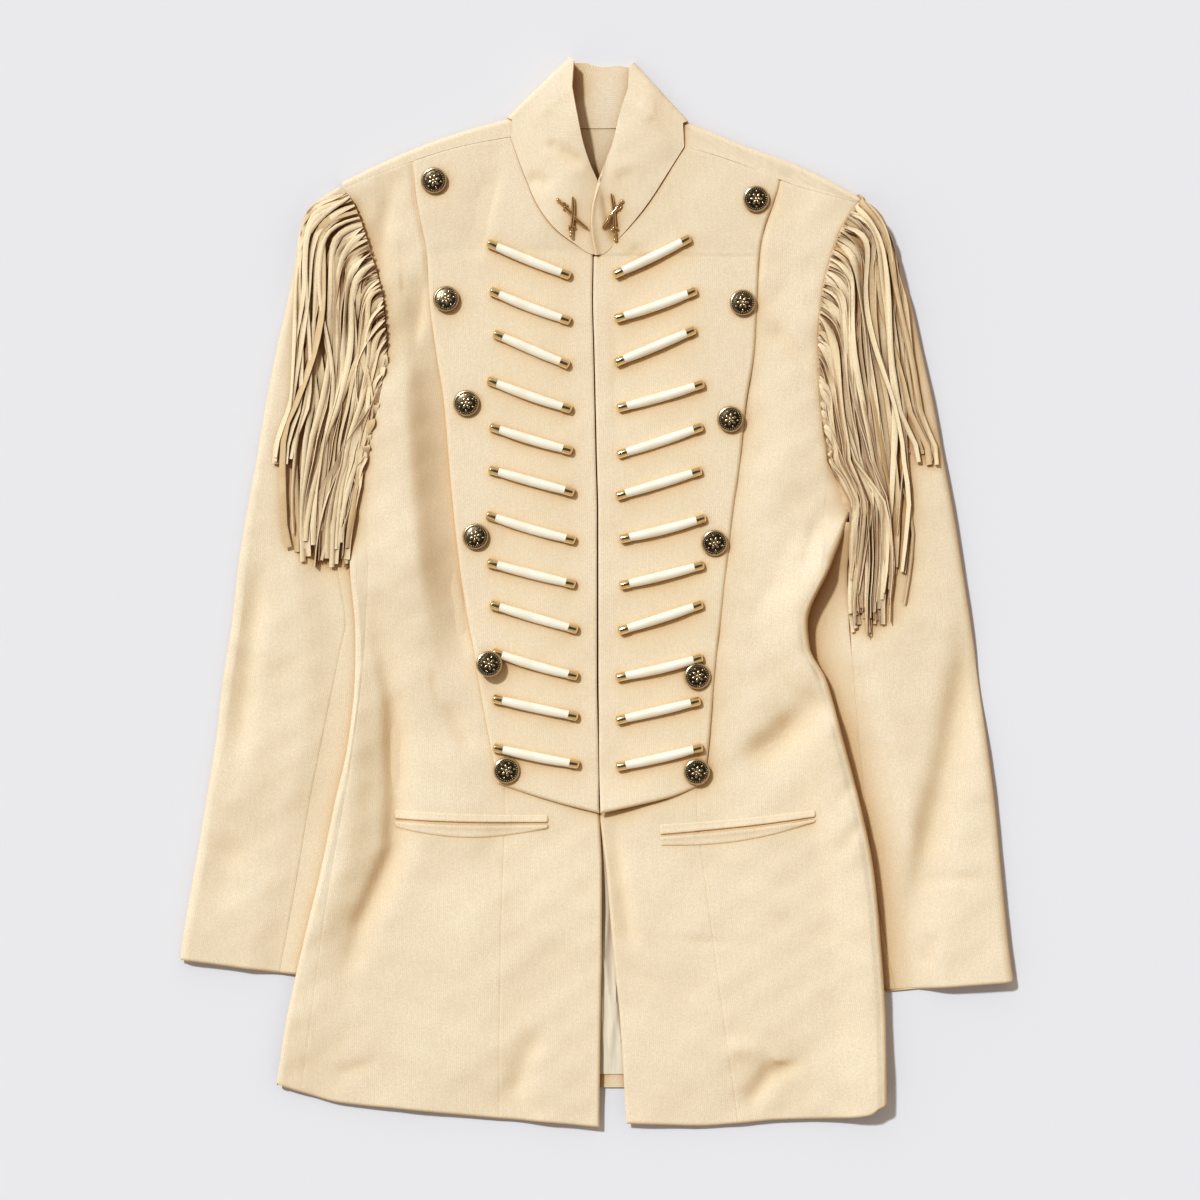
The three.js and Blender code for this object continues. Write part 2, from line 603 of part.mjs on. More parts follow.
function pins(half) {
  const bodies = sabrePlaces[half.name].map(([hilt, tip]) => {
    const length = Math.hypot(tip[0] - hilt[0], tip[1] - hilt[1]);
    const turn = Math.atan2(tip[1] - hilt[1], tip[0] - hilt[0]);
    const blade = new THREE.CylinderGeometry(sabre.width * 0.55, sabre.width, length, 6);
    blade.rotateZ(-Math.PI / 2).scale(1, 1, sabre.thickness / sabre.width);
    const guard = new THREE.SphereGeometry(sabre.guard, 6, 4);
    guard.scale(1.4, 1, 0.6).translate(-length * sabre.guardShare, 0, 0);
    const middle = between(hilt, tip, 0.5);
    const whole = solidOf(blade).add(solidOf(guard)).rotate([0, 0, THREE.MathUtils.radToDeg(turn)]);
    return whole.translate([...middle, sabre.height[half.name]]);
  });
  add(`${half.name}_collar_pin`, geometryOf(bodies[0].add(bodies[1])), steel());
}

// Fringe: strands in layers, rooted in a strip down the armhole between two heights. Each strand
// swings out and drops from its root. Tips by their share of the way down.
const fringe = {
  strands: 44, layers: 4, width: 2.8, thickness: 0.9, pitch: 1.3, outward: 42, leastOutward: 5, drop: 25,
  rootHigh: 314, rootLow: 84, clear: 0.5, rootRise: 0.7,
};
const rootStrip = { in: 1.5, width: 7, thickness: 1.4, past: 3, rootShare: 0.45 };
const tips = {
  right: [
    { share: 0, x: -257, y: 56 }, { share: 0.25, x: -250, y: 38 }, { share: 0.5, x: -238, y: 22 },
    { share: 0.75, x: -223, y: 18 }, { share: 1, x: -209, y: 26 },
  ],
  left: [
    { share: 0, x: 271, y: 92 }, { share: 0.25, x: 255, y: 12 }, { share: 0.5, x: 243, y: -10 },
    { share: 0.75, x: 227, y: -32 }, { share: 1, x: 212, y: -36 },
  ],
};

// Line of the armhole from the shoulder down to the armpit.
function armholeAt(half, y) {
  if (y >= armholeFoot) return lineAt(half, 'side', y);
  const share = (armholeFoot - y) / (armholeFoot - half.armpit);
  return mix(lineAt(half, 'side', armholeFoot), lineAt(half, 'sleeveSeam', half.armpit), share);
}

function fringePiece(half) {
  const base = top.sleeve + fringe.clear;
  const { rootHigh, rootLow } = fringe;
  const levels = half.levels.map((row) => row.y).filter((y) => y <= 298 && y >= armholeFoot);
  const stripRows = [rootHigh + rootStrip.past, ...levels, rootLow - rootStrip.past];
  const stripTop = base + rootStrip.thickness;
  const stripPoint = (y, away) => point([armholeAt(half, y) + half.out * away, y], stripTop);
  const strip = stripRows.map((y) => [
    stripPoint(y, rootStrip.in),
    stripPoint(y, rootStrip.in + rootStrip.width),
  ]);
  let body = solidOf(levelCloth(strip, rootStrip.thickness));
  const rows = tips[half.name];
  for (let k = 0; k < fringe.strands; k++) {
    const share = k / (fringe.strands - 1);
    const found = Math.max(1, rows.findIndex((row) => row.share >= share));
    const [before, after] = [rows[found - 1], rows[found]];
    const t = (share - before.share) / (after.share - before.share);
    const tip = [mix(before.x, after.x, t), mix(before.y, after.y, t)];
    const y = mix(rootHigh, rootLow, share);
    const rootIn = rootStrip.in + rootStrip.width * rootStrip.rootShare;
    const root = [armholeAt(half, y) + half.out * rootIn, y];
    const z = base + fringe.thickness / 2 + (k % fringe.layers) * fringe.pitch;
    const swing = fringe.outward * (1 - share) * (1 - share * 0.4) + fringe.leastOutward;
    const path = new THREE.CubicBezierCurve3(
      point(root, base + fringe.rootRise),
      point([root[0] + half.out * swing, root[1] - fringe.drop * (1 - 0.6 * share)], z),
      point([tip[0], mix(tip[1], root[1], 0.5)], z),
      point(tip, z),
    );
    body = body.add(solidOf(strand(path)));
  }
  add(`${half.name}_fringe`, geometryOf(body), suede());
}

// One strand: a flat four-sided ribbon along a path, with its width level.
function strand(path) {
  const stops = [0, 0.15, 0.5, 1];
  const across = [[-1, -1], [1, -1], [1, 1], [-1, 1]];
  const ring = stops.map((t) => {
    const centre = path.getPoint(t);
    const ahead = path.getTangent(t);
    const side = new THREE.Vector3(-ahead.y, ahead.x, 0).normalize();
    const taper = t === 0 ? 0.9 : mix(1, 0.75, t);
    return across.map(([a, b]) => centre.clone().addScaledVector(side, (a * fringe.width * taper) / 2)
      .add(new THREE.Vector3(0, 0, (b * fringe.thickness) / 2)));
  });
  const positions = ring.flat().flatMap((p) => [p.x, p.y, p.z]);
  const faces = [0, 1, 2, 0, 2, 3];
  const last = 4 * (stops.length - 1);
  faces.push(last, last + 2, last + 1, last, last + 3, last + 2);
  for (let s = 0; s < stops.length - 1; s++) {
    for (let c = 0; c < 4; c++) {
      const [a, b] = [4 * s + c, 4 * s + ((c + 1) % 4)];
      faces.push(a, a + 4, b, b, a + 4, b + 4);
    }
  }
  return outward(positions, faces);
}

back();
lining();
for (const half of [right, left]) {
  frontPanels(half);
  sidePanel(half);
  sleeve(half);
  bib(half);
  trim(half);
  pins(half);
  fringePiece(half);
}
standCollar();
pockets.forEach(pocketWelts);

export default jacket;
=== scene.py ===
"""A long napoleon jacket of cream wool laid flat on its back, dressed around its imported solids.

Lengths in the classes are millimetres unless a name says otherwise: +Y towards the collar, +Z up.
Sides are the wearer's, so the right half lies at -X.
"""

import logging
import math
from dataclasses import dataclass, field
from enum import Enum
from typing import Callable, Sequence

import bpy
import numpy as np
from mathutils import Matrix, Vector


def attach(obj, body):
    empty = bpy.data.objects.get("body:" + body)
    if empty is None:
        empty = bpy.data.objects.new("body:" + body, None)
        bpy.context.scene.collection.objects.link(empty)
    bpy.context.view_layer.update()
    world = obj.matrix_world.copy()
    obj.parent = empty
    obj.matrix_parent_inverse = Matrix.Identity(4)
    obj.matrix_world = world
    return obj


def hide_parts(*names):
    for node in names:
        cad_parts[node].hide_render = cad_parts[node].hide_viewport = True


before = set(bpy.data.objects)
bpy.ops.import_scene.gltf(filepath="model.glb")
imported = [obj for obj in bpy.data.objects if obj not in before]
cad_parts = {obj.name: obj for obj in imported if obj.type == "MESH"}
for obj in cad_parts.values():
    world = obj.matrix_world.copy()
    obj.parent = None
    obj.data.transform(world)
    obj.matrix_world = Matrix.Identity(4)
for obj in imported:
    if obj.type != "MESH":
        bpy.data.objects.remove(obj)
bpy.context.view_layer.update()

MM = 0.001
BODY = "root"
log = logging.getLogger("jacket")

Array = np.ndarray
Object = bpy.types.Object
Material = bpy.types.Material
Node = bpy.types.Node
Socket = bpy.types.NodeSocket
Place = tuple[float, float]


class Slot(Enum):
    """Finishes of the record, by slot."""

    WOOL = "wool"
    SATIN = "satin"
    SUEDE = "suede"
    BONE = "bone"
    METAL = "antique_metal"
    STEEL = "steel"


def smooth(low: float, high: float, value: Array) -> Array:
    """Rise smoothly from 0 at low to 1 at high.

    Args:
        low: value where the rise starts.
        high: value where it ends; may lie below low.
        value: where the rise is wanted.

    Returns:
        The share of the rise at each value.
    """
    t = np.clip((np.asarray(value, float) - low) / (high - low), 0, 1)
    return t * t * (3 - 2 * t)


def through(knots: Sequence[float], values: Sequence[float], at: Array) -> Array:
    """Follow a smooth curve through given values, without overshoot between them.

    Args:
        knots: places along the curve, in any order.
        values: the curve's value at each knot.
        at: places where it is wanted; straight on past both ends.

    Returns:
        The curve's values there.
    """
    order = np.argsort(knots)
    k, v = np.asarray(knots, float)[order], np.asarray(values, float)[order]
    step = np.diff(k)
    slope = np.diff(v) / step
    before, after = slope[:-1], slope[1:]
    same = before * after > 0
    tangent = np.empty_like(v)
    tangent[1:-1] = np.where(same, 2 * before * after / np.where(same, before + after, 1), 0)
    tangent[0], tangent[-1] = slope[0], slope[-1]
    at = np.asarray(at, float)
    i = np.clip(np.searchsorted(k, at) - 1, 0, len(step) - 1)
    t = (at - k[i]) / step[i]
    s = np.clip(t, 0, 1)
    curve = (
        v[i] * (1 + 2 * s) * (1 - s) ** 2
        + v[i + 1] * s * s * (3 - 2 * s)
        + step[i] * s * (1 - s) * (tangent[i] * (1 - s) - tangent[i + 1] * s)
    )
    return curve + (t - s) * step[i] * np.where(t > 1, tangent[i + 1], tangent[i])


def chord(points: Array) -> Array:
    """Running length along a chain of points, from 0."""
    steps = np.linalg.norm(np.diff(points, axis=0), axis=1)
    return np.concatenate([[0], np.cumsum(steps)])


def along(points: Sequence[Sequence[float]], shares: Array) -> Array:
    """Points at given shares of a smooth chain's length.

    Args:
        points: the chain's points, in two or three coordinates.
        shares: places along it, from 0 to 1.

    Returns:
        One point for each share.
    """
    chain = np.asarray(points, float)
    length = chord(chain)
    place = np.asarray(shares) * length[-1]
    return np.stack([through(length, chain[:, c], place) for c in range(chain.shape[1])], axis=-1)


def stations(length: float, step: float) -> Array:
    """Shares of a length that lie close together beside its ends, where cloth rolls over.

    Args:
        length: the length to divide.
        step: distance between stations away from the ends.

    Returns:
        Shares from 0 to 1.
    """
    near = [d for d in (0.0, 0.35, 0.8, 1.4, 2.2, 3.4) if d < length / 3]
    inner = np.linspace(near[-1], length - near[-1], max(3, int(length / step)))[1:-1]
    ends = np.array(near)
    return np.concatenate([ends, inner, length - ends[::-1]]) / length


def spread(left: Array, right: Array, top: Array, bottom: Array) -> Array:
    """Fill the space between four edges of a panel.

    Args:
        left: points down one side, one for each row.
        right: points down the other side, one for each row.
        top: points across the top, one for each column, from the left side's first point.
        bottom: points across the bottom, one for each column.

    Returns:
        Points by row and column.
    """
    v = (chord(left) / chord(left)[-1])[:, None, None]
    u = (chord(top) / chord(top)[-1])[None, :, None]
    sides = left[:, None] * (1 - u) + right[:, None] * u
    ends = top[None] * (1 - v) + bottom[None] * v
    corners = (left[0] * (1 - u) + right[0] * u) * (1 - v) + (left[-1] * (1 - u) + right[-1] * u) * v
    return sides + ends - corners


def row_lengths(grid: Array) -> Array:
    """Running length along each row of a grid of points."""
    steps = np.linalg.norm(np.diff(grid, axis=1), axis=2)
    return np.concatenate([np.zeros((len(grid), 1)), np.cumsum(steps, axis=1)], axis=1)


def column_lengths(grid: Array) -> Array:
    """Running length down each column of a grid of points."""
    return row_lengths(grid.transpose(1, 0, 2)).T


@dataclass(frozen=True)
class Fold:
    """A soft fold or dent in laid cloth: its line, the reach on each side of it, and its height."""

    path: tuple[Place, ...]
    reach: tuple[float, float]
    height: float

    def at(self, x: Array, y: Array) -> Array:
        """Height that the fold adds.

        Args:
            x: places across the jacket.
            y: places up the jacket.

        Returns:
            The added height; it fades out at the fold's ends.
        """
        line = np.asarray(self.path, float)
        length = chord(line)
        nearest = np.full(np.shape(x), np.inf)
        side = np.zeros(np.shape(x))
        share = np.zeros(np.shape(x))
        for k in range(len(line) - 1):
            start, run = line[k], line[k + 1] - line[k]
            size = run @ run
            dx, dy = x - start[0], y - start[1]
            t = np.clip((dx * run[0] + dy * run[1]) / size, 0, 1)
            away = np.hypot(dx - t * run[0], dy - t * run[1])
            closer = away < nearest
            nearest = np.where(closer, away, nearest)
            side = np.where(closer, run[0] * dy - run[1] * dx, side)
            share = np.where(closer, (length[k] + t * math.sqrt(size)) / length[-1], share)
        width = np.where(side > 0, self.reach[0], self.reach[1])
        ends = smooth(0, 0.3, share) * smooth(1, 0.7, share)
        return self.height * np.exp(-((nearest / width) ** 2)) * (0.15 + 0.85 * ends)


@dataclass(frozen=True)
class Ripple:
    """Slight unevenness of laid cloth, from level waves of many directions."""

    seed: int
    shortest: float
    longest: float
    height: float
    waves: int = 12

    def at(self, x: Array, y: Array) -> Array:
        """Height of the unevenness at places x, y."""
        dice = np.random.default_rng(self.seed)
        total = np.zeros(np.shape(x))
        for _ in range(self.waves):
            turn = dice.uniform(0, math.pi)
            size = dice.uniform(self.shortest, self.longest)
            start = dice.uniform(0, 2 * math.pi)
            run = (x * math.cos(turn) + y * math.sin(turn)) * 2 * math.pi / size
            total = total + np.sin(run + start)
        return total * self.height


def deselect() -> None:
    """Deselect everything."""
    for other in bpy.context.selected_objects:
        other.select_set(False)


def select_only(piece: Object) -> None:
    """Make a piece the only selected and the active one."""
    deselect()
    piece.select_set(True)
    bpy.context.view_layer.objects.active = piece


def shade_by_angle(piece: Object, degrees: float) -> None:
    """Shade a piece smooth but for its edges sharper than an angle."""
    select_only(piece)
    bpy.ops.object.shade_smooth_by_angle(angle=math.radians(degrees))


def dress(piece: Object, material: Material, degrees: float = 40) -> None:
    """Give a piece its only material and shade it."""
    piece.data.materials.clear()
    piece.data.materials.append(material)
    shade_by_angle(piece, degrees)


def apply_modifier(piece: Object, kind: str, **settings: object) -> None:
    """Add a modifier to a piece, set it and apply it.

    Args:
        piece: the object.
        kind: the modifier's type.
        settings: its properties by name.
    """
    select_only(piece)
    bpy.ops.object.modifier_add(type=kind)
    modifier = piece.modifiers[-1]
    for name, value in settings.items():
        setattr(modifier, name, value)
    bpy.ops.object.modifier_apply(modifier=modifier.name)


def new_piece(name: str, points: Array, faces: list, material: Material) -> Object:
    """Make an object from points in millimetres and faces.

    Args:
        name: the object's name.
        points: its points.
        faces: corner numbers of each face.
        material: its finish.

    Returns:
        The object, at the origin.
    """
    mesh = bpy.data.meshes.new(name)
    mesh.from_pydata((np.asarray(points) * MM).tolist(), [], faces)
    mesh.materials.append(material)
    piece = bpy.data.objects.new(name, mesh)
    bpy.context.scene.collection.objects.link(piece)
    return piece


def cut_size(grid: Array, keep: Array | None = None) -> tuple[tuple[float, float], float]:
    """Measure the flat cut of a piece of cloth.

    Args:
        grid: its points by row and column.
        keep: which points are there.

    Returns:
        Width and length of the cut, and its area, in metres and square metres.
    """
    across = grid[:-1, 1:] - grid[:-1, :-1]
    down = grid[1:, :-1] - grid[:-1, :-1]
    cells = np.linalg.norm(np.cross(across, down), axis=2)
    if keep is not None:
        cells = cells * (keep[:-1, :-1] & keep[1:, 1:] & keep[1:, :-1] & keep[:-1, 1:])
    area = cells.sum() * MM * MM
    width, length = row_lengths(grid)[:, -1].max() * MM, column_lengths(grid)[-1].max() * MM
    return (float(width), float(max(length, area / width * 1.01))), float(area)


STUFF = {Slot.WOOL: "cloth", Slot.SATIN: "satin", Slot.SUEDE: "suede", Slot.BONE: "bone", Slot.METAL: "metal",
         Slot.STEEL: "steel"}


def declare(piece: Object, slot: Slot, node: str = "") -> Object:
    """Let a piece ride on the body and, if a CAD node is named, take that node's name with the slot's stuff added and
    hide the node.
    """
    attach(piece, BODY)
    if node:
        piece.name = piece.data.name = f"{node}_{STUFF[slot]}"
        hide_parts(node)
    log.info("%s: %d faces", piece.name, len(piece.data.polygons))
    return piece


@dataclass(frozen=True)
class Cloth:
    """Cloth built on a grid of points: its thickness and how it is finished."""

    material: Material
    thickness: float = 2.0
    offset: float = -1.0

    def lay(self, name: str, grid: Array, flip: bool, keep: Array | None = None) -> Object:
        """Build a piece of cloth.

        Args:
            name: the piece's name.
            grid: points of its outer face by row and column.
            flip: whether the columns run to -X where the outer face looks up.
            keep: which points are there; all of them if None.

        Returns:
            The piece, with a UV map in metres along the cloth.
        """
        rows, columns = grid.shape[:2]
        keep = np.ones((rows, columns), bool) if keep is None else keep
        there = keep[:-1, :-1] & keep[1:, :-1] & keep[1:, 1:] & keep[:-1, 1:]
        number = np.arange(rows * columns).reshape(rows, columns)
        quads = np.stack([number[:-1, :-1], number[1:, :-1], number[1:, 1:], number[:-1, 1:]], axis=-1)[there]
        if flip:
            quads = quads[:, ::-1]
        used = np.unique(quads)
        place = np.zeros(rows * columns, int)
        place[used] = np.arange(len(used))
        quads = place[quads]
        piece = new_piece(name, grid.reshape(-1, 3)[used], quads.tolist(), self.material)
        uv = np.stack([row_lengths(grid), column_lengths(grid)], axis=-1).reshape(-1, 2)[used] * MM
        layer = piece.data.uv_layers.new(name="cloth")
        layer.data.foreach_set("uv", uv[quads.reshape(-1)].reshape(-1))
        apply_modifier(piece, "SOLIDIFY", thickness=self.thickness * MM, offset=self.offset)
        for vertex in piece.data.vertices:
            vertex.co.z = max(vertex.co.z, 0.0)
        piece.data.polygons.foreach_set("use_smooth", [True] * len(piece.data.polygons))
        shade_by_angle(piece, 50)
        return piece

    def lay_sheet(self, node: str, grid: Array, flip: bool, keep: Array | None = None,
                  slot: Slot = Slot.WOOL) -> Object:
        """Args:
            node: the CAD node that it stands for.
            grid: points of its outer face by row and column.
            flip: whether the columns run to -X where the outer face looks up.
            keep: which points are there; all of them if None.
            slot: its finish.

        Returns:
            The piece.
        """
        piece = declare(self.lay(node, grid, flip, keep), slot, node)
        flat, area = cut_size(grid, keep)
        return piece


EDGE_TOP = 20.0
SIDE_TOP = 107.0
HEIGHTS = (345, 318, 298, 277, 240, 200, 155, 107, 64, 20, -25, -45, -70, -120, -175, -230, -290, -350)


@dataclass(frozen=True)
class Half:
    """Pattern of one half, as it lies: its lines down the jacket and its edges across.

    Each line holds x at the heights of HEIGHTS, from the first height that it has.
    """

    name: str
    out: int
    front: tuple[float, ...]
    princess: tuple[float, ...]
    bib: tuple[float, ...]
    side: tuple[float, ...]
    edge: tuple[float, ...]
    outer: tuple[float, ...]
    inner: tuple[float, ...]
    sleeve_seam: tuple[float, ...]
    shoulder: tuple[Place, ...]
    bib_shoulder: tuple[float, float]
    fold: tuple[Place, ...]
    neck: tuple[Place, ...]
    hem: tuple[Place, ...]
    side_hem: tuple[Place, ...]
    bib_hem: tuple[Place, ...]
    cuff: tuple[Place, ...]
    sleeve_top: tuple[float, float]
    armpit: float = 64.0

    def line(self, name: str, y: Array, extra: Sequence[Sequence[float]] = ()) -> Array:
        """Follow a line of the pattern.

        Args:
            name: the line's field.
            y: heights where it is wanted.
            extra: further points of the line, past its table.

        Returns:
            The line's x at each height.
        """
        table = getattr(self, name)
        start = {"side": 1, "outer": 1, "edge": 8, "inner": 8, "sleeve_seam": 8}.get(name, 0)
        knots = list(HEIGHTS[start:start + len(table)]) + [p[1] for p in extra]
        return through(knots, list(table) + [p[0] for p in extra], y)

    def centre(self, y: Array) -> Array:
        """Follow the neckline and then the front edge, from the shoulder seam to the hem."""
        below = [(x, h) for x, h in zip(self.front[4:], HEIGHTS[4:])]
        points = [self.shoulder[0], *self.neck, *below, self.hem[0]]
        return through([p[1] for p in points], [p[0] for p in points], y)

    def rise(self, y: Array) -> Array:
        """How far the body's edge has risen over the sleeve: 0 at the armpit, then 1."""
        return np.clip((self.armpit - np.asarray(y, float)) / 44, 0, 1)


RIGHT = Half(
    name="right", out=-1,
    front=(-60, -48.5, -34, -3.5, -4, -3, -2, -1, 0, 0, 0, 0, 0, 1, 2, 4, 4, 3),
    princess=(-122.5, -122, -121, -119.5, -116, -110.5, -104.5, -99, -94.5, -90, -85.5, -83.5, -81.5,
              -77.5, -75, -77, -78.5, -79.5),
    bib=(-150, -147, -143, -139, -137, -132, -125, -121, -117, -112, -105, -101, -97, -88),
    side=(-198, -190, -183.5, -174, -171, -178, -188, -187.5, -187, -189, -190, -192, -198, -207, -217,
          -226, -234),
    edge=(-203, -202, -198, -197.5, -198, -203, -215, -226.5, -241, -254),
    outer=(-231, -239, -245, -253, -262, -271, -279, -287, -294, -299, -302, -306, -312, -320.5, -330,
           -340),
    inner=(-200, -199, -188, -186, -186, -190, -201, -213, -230),
    sleeve_seam=(-214, -212, -206, -210, -215, -225, -236, -245, -256),
    shoulder=((-70, 373), (-98, 368), (-123, 362), (-162, 349), (-207, 331)),
    bib_shoulder=(-151, 353),
    fold=((-71, 389), (-101, 380.5), (-126, 372.5), (-164, 357.5), (-209, 336)),
    neck=((-60, 345), (-48.5, 318), (-34, 298), (-17, 285), (-3.5, 277)),
    hem=((2, -437), (-47, -432.5), (-80, -430)),
    side_hem=((-80, -430), (-112, -427), (-162, -422), (-211, -417), (-242, -408.5), (-262, -402)),
    bib_hem=((2, -180), (-30, -172), (-63, -162), (-81, -156)),
    cuff=((-341, -300), (-260, -311), (-239, -313.5)),
    sleeve_top=(-213, 331.5),
)

LEFT = Half(
    name="left", out=1,
    front=(58.5, 41, 25, 4, -1, -1, 0, 0, 1, 1, 1, 1, 1, 1, 2, 8, 13, 19),
    princess=(117, 118, 118.5, 119, 118, 115, 110.5, 105, 100.5, 96, 92, 90, 88, 84, 82, 88, 96, 104),
    bib=(148, 144, 137, 133, 131, 129, 122, 117, 111, 106, 101, 98.5, 96, 92),
    side=(212, 199, 191, 182.5, 180, 182, 189.5, 185.7, 182, 164, 166, 179, 193, 207, 218, 224, 228),
    edge=(208, 190, 172, 174, 187, 201, 215.5, 226.5, 232, 236),
    outer=(223, 238, 243, 256, 265, 275, 284, 292, 299, 306, 309, 312, 319, 326, 331, 337),
    inner=(205, 186, 167, 167, 176, 190, 202, 213, 226),
    sleeve_seam=(219, 205, 206, 207.5, 210, 214.5, 220, 226, 237),
    shoulder=((71, 365), (93, 359), (117, 351), (166, 332), (213, 319)),
    bib_shoulder=(150, 338.5),
    fold=((72, 386), (95, 377), (119, 367), (167, 349), (216, 324)),
    neck=((58.5, 345), (41, 318), (25, 298), (17, 289), (4, 277)),
    hem=((24, -434), (52, -435), (84, -436), (116, -434)),
    side_hem=((116, -434), (150, -431), (183, -430), (207, -429), (224, -426), (229, -422), (237, -418)),
    bib_hem=((3, -180), (35, -173), (62, -166.5), (88, -156)),
    cuff=((341, -318), (245, -326), (236, -326.5)),
    sleeve_top=(219, 319.5),
)

NECK_BACK = ((-35, 381.5), (0, 380), (35, 381))
HEM_BACK = -405.0


@dataclass(frozen=True)
class Relief:
    """How high the upper face of the laid jacket lies, with its folds and its unevenness."""

    front: float = 7.0
    ridge: tuple[float, float] = (10.2, 22.0)
    sleeve: tuple[float, float] = (10.0, 12.8)
    armhole: float = 9.6
    sleeve_inner: tuple[float, float] = (5.6, 3.2)
    bib: float = 9.4
    edge_under: float = 6.2
    chest_loft: float = 2.6
    skirt_loft: float = 3.6
    hem_fall: float = 3.2
    body_depth: float = 1.9
    sleeve_depth: float = 2.0
    bib_depth: float = 1.6
    body_folds: tuple[Fold, ...] = (
        Fold(((-160, 236), (-156, 117), (-148, 27), (-138, -52)), (13, 40), 4.6),
        Fold(((-135, 232), (-128, 142), (-119, 43), (-111, -39), (-104, -92)), (8, 13), -2.3),
        Fold(((-150, 198), (-141, 262)), (12, 5), -1.9),
        Fold(((-201, -30), (-201, -137), (-207, -211), (-226, -276), (-231, -340)), (17, 21), 3.6),
        Fold(((-180, -26), (-168, -88), (-166, -162), (-168, -211), (-193, -268), (-207, -320)), (13, 6.5), -3.7),
        Fold(((-126, -86), (-99, -132)), (7, 8), -1.5),
        Fold(((-140, -20), (-124, -140)), (24, 26), -1.4),
        Fold(((-166, 336), (-175, 298), (-178, 262)), (7, 8), -1.6),
        Fold(((-43, -356), (-59, -383), (-70, -418)), (8, 11), -2.0),
        Fold(((-118, -260), (-60, -330)), (26, 30), 1.2),
        Fold(((-215, -392), (-180, -384)), (5, 7), -0.8),
        Fold(((138, 221), (156, 203), (178, 180)), (6, 6), -1.5),
        Fold(((194, -66), (172, -96), (150, -120), (112, -142)), (20, 13), -4.2),
        Fold(((204, -94), (180, -120), (150, -148)), (12, 14), 1.2),
        Fold(((171, -32), (180, -54), (189, -78)), (4, 5), -2.6),
        Fold(((215, -184), (195, -218)), (5, 6), -1.1),
        Fold(((213, -150), (194, -172)), (5, 6), -0.9),
        Fold(((104, -370), (142, -373)), (6, 8), 1.1),
        Fold(((153, -378), (159, -386), (141, -392), (129, -411), (126, -427)), (8, 8), -2.2),
        Fold(((14, -186), (20, -235), (30, -296)), (5, 9), -2.0),
        Fold(((56, -283), (120, -287)), (4, 5), -0.5),
        Fold(((150, 130), (150, 0)), (26, 26), 1.2),
        Fold(((184, 66), (166, 10)), (9, 7), -1.6),
    )
    bib_folds: tuple[Fold, ...] = (
        Fold(((-80, 350), (-89, 314), (-99, 270)), (4, 17), -2.0),
        Fold(((12, 262), (15, 180), (16, 90)), (3, 3), -0.45),
        Fold(((26, 284), (44, 268)), (6, 8), -1.3),
        Fold(((-60, 300), (-40, 120), (-45, -60)), (22, 22), 0.5),
        Fold(((60, 200), (62, 20)), (24, 24), 0.6),
    )
    sleeve_folds: tuple[Fold, ...] = (
        Fold(((-275, 34), (-283, -40), (-289, -90), (-297, -156)), (9, 11), -2.4),
        Fold(((-300, -190), (-306, -262)), (16, 14), -1.0),
        Fold(((305, 0), (301, -58), (289, -128), (271, -200), (256, -272), (250, -325)), (20, 12), -4.4),
        Fold(((277, -276), (269, -308)), (4, 8), -1.4),
        Fold(((318, -232), (262, -236)), (5, 5), -0.6),
        Fold(((250, 20), (246, -120)), (20, 20), 0.8),
    )
    broad: Ripple = Ripple(11, 70, 170, 0.3)
    middle: Ripple = Ripple(5, 24, 60, 0.11)
    fine: Ripple = Ripple(23, 8, 18, 0.02)

    def uneven(self, x: Array, y: Array) -> Array:
        """Height of the cloth's unevenness."""
        return self.broad.at(x, y) + self.middle.at(x, y) + self.fine.at(x, y)

    def body(self, half: Half, x: Array, y: Array) -> Array:
        """Height of the fronts and side panels.

        Args:
            half: the half that the places lie on.
            x: places across.
            y: places up.

        Returns:
            Height of the upper face.
        """
        outside = half.out * (x - half.line("bib", y))
        loft = np.maximum(self.chest_loft * smooth(0, 40, outside), self.skirt_loft * smooth(-186, -262, y))
        level = 1.8 * smooth(225, 262, y) * smooth(-1, 5, outside)
        base = self.front + np.maximum(loft, level)
        inward = half.out * (half.line("edge", np.minimum(y, 64)) - x)
        ridge = self.ridge[half is LEFT] * (1 - 0.28 * smooth(-150, -390, y))
        base = base + np.maximum(ridge - base, 0) * half.rise(y) * smooth(46, 8, inward)
        folds = self.body_depth * sum(fold.at(x, y) for fold in self.body_folds)
        calm = 1 - 0.8 * smooth(2, -12, outside) * smooth(-185, -165, y)
        hem = self.hem_fall * smooth(-372, -436, y) * (0.5 + 0.5 * smooth(30, 90, np.abs(x)))
        corner = 4.5 * smooth(-330, -425, y) * smooth(160, 232, x)
        return base + (folds + self.uneven(x, y)) * calm - hem + corner

    def sleeves(self, half: Half, x: Array, y: Array) -> Array:
        """Height of the sleeves.

        Args:
            half: the half that the places lie on.
            x: places across.
            y: places up.

        Returns:
            Height of the upper face.
        """
        inward = half.out * (x - half.line("inner", np.minimum(y, 64)))
        under = half.rise(y) * smooth(56, 24, inward)
        folds = self.sleeve_depth * sum(fold.at(x, y) for fold in self.sleeve_folds)
        armhole = half.out * (x - half.line("side", y))
        joined = smooth(22, 0, armhole) * smooth(20, 64, y)
        sleeve = self.sleeve[half is LEFT]
        high = sleeve - (sleeve - self.armhole) * joined
        waves = (folds + self.uneven(x, y)) * (1 - under * 0.7)
        return high - (high - self.sleeve_inner[half is LEFT]) * under + waves

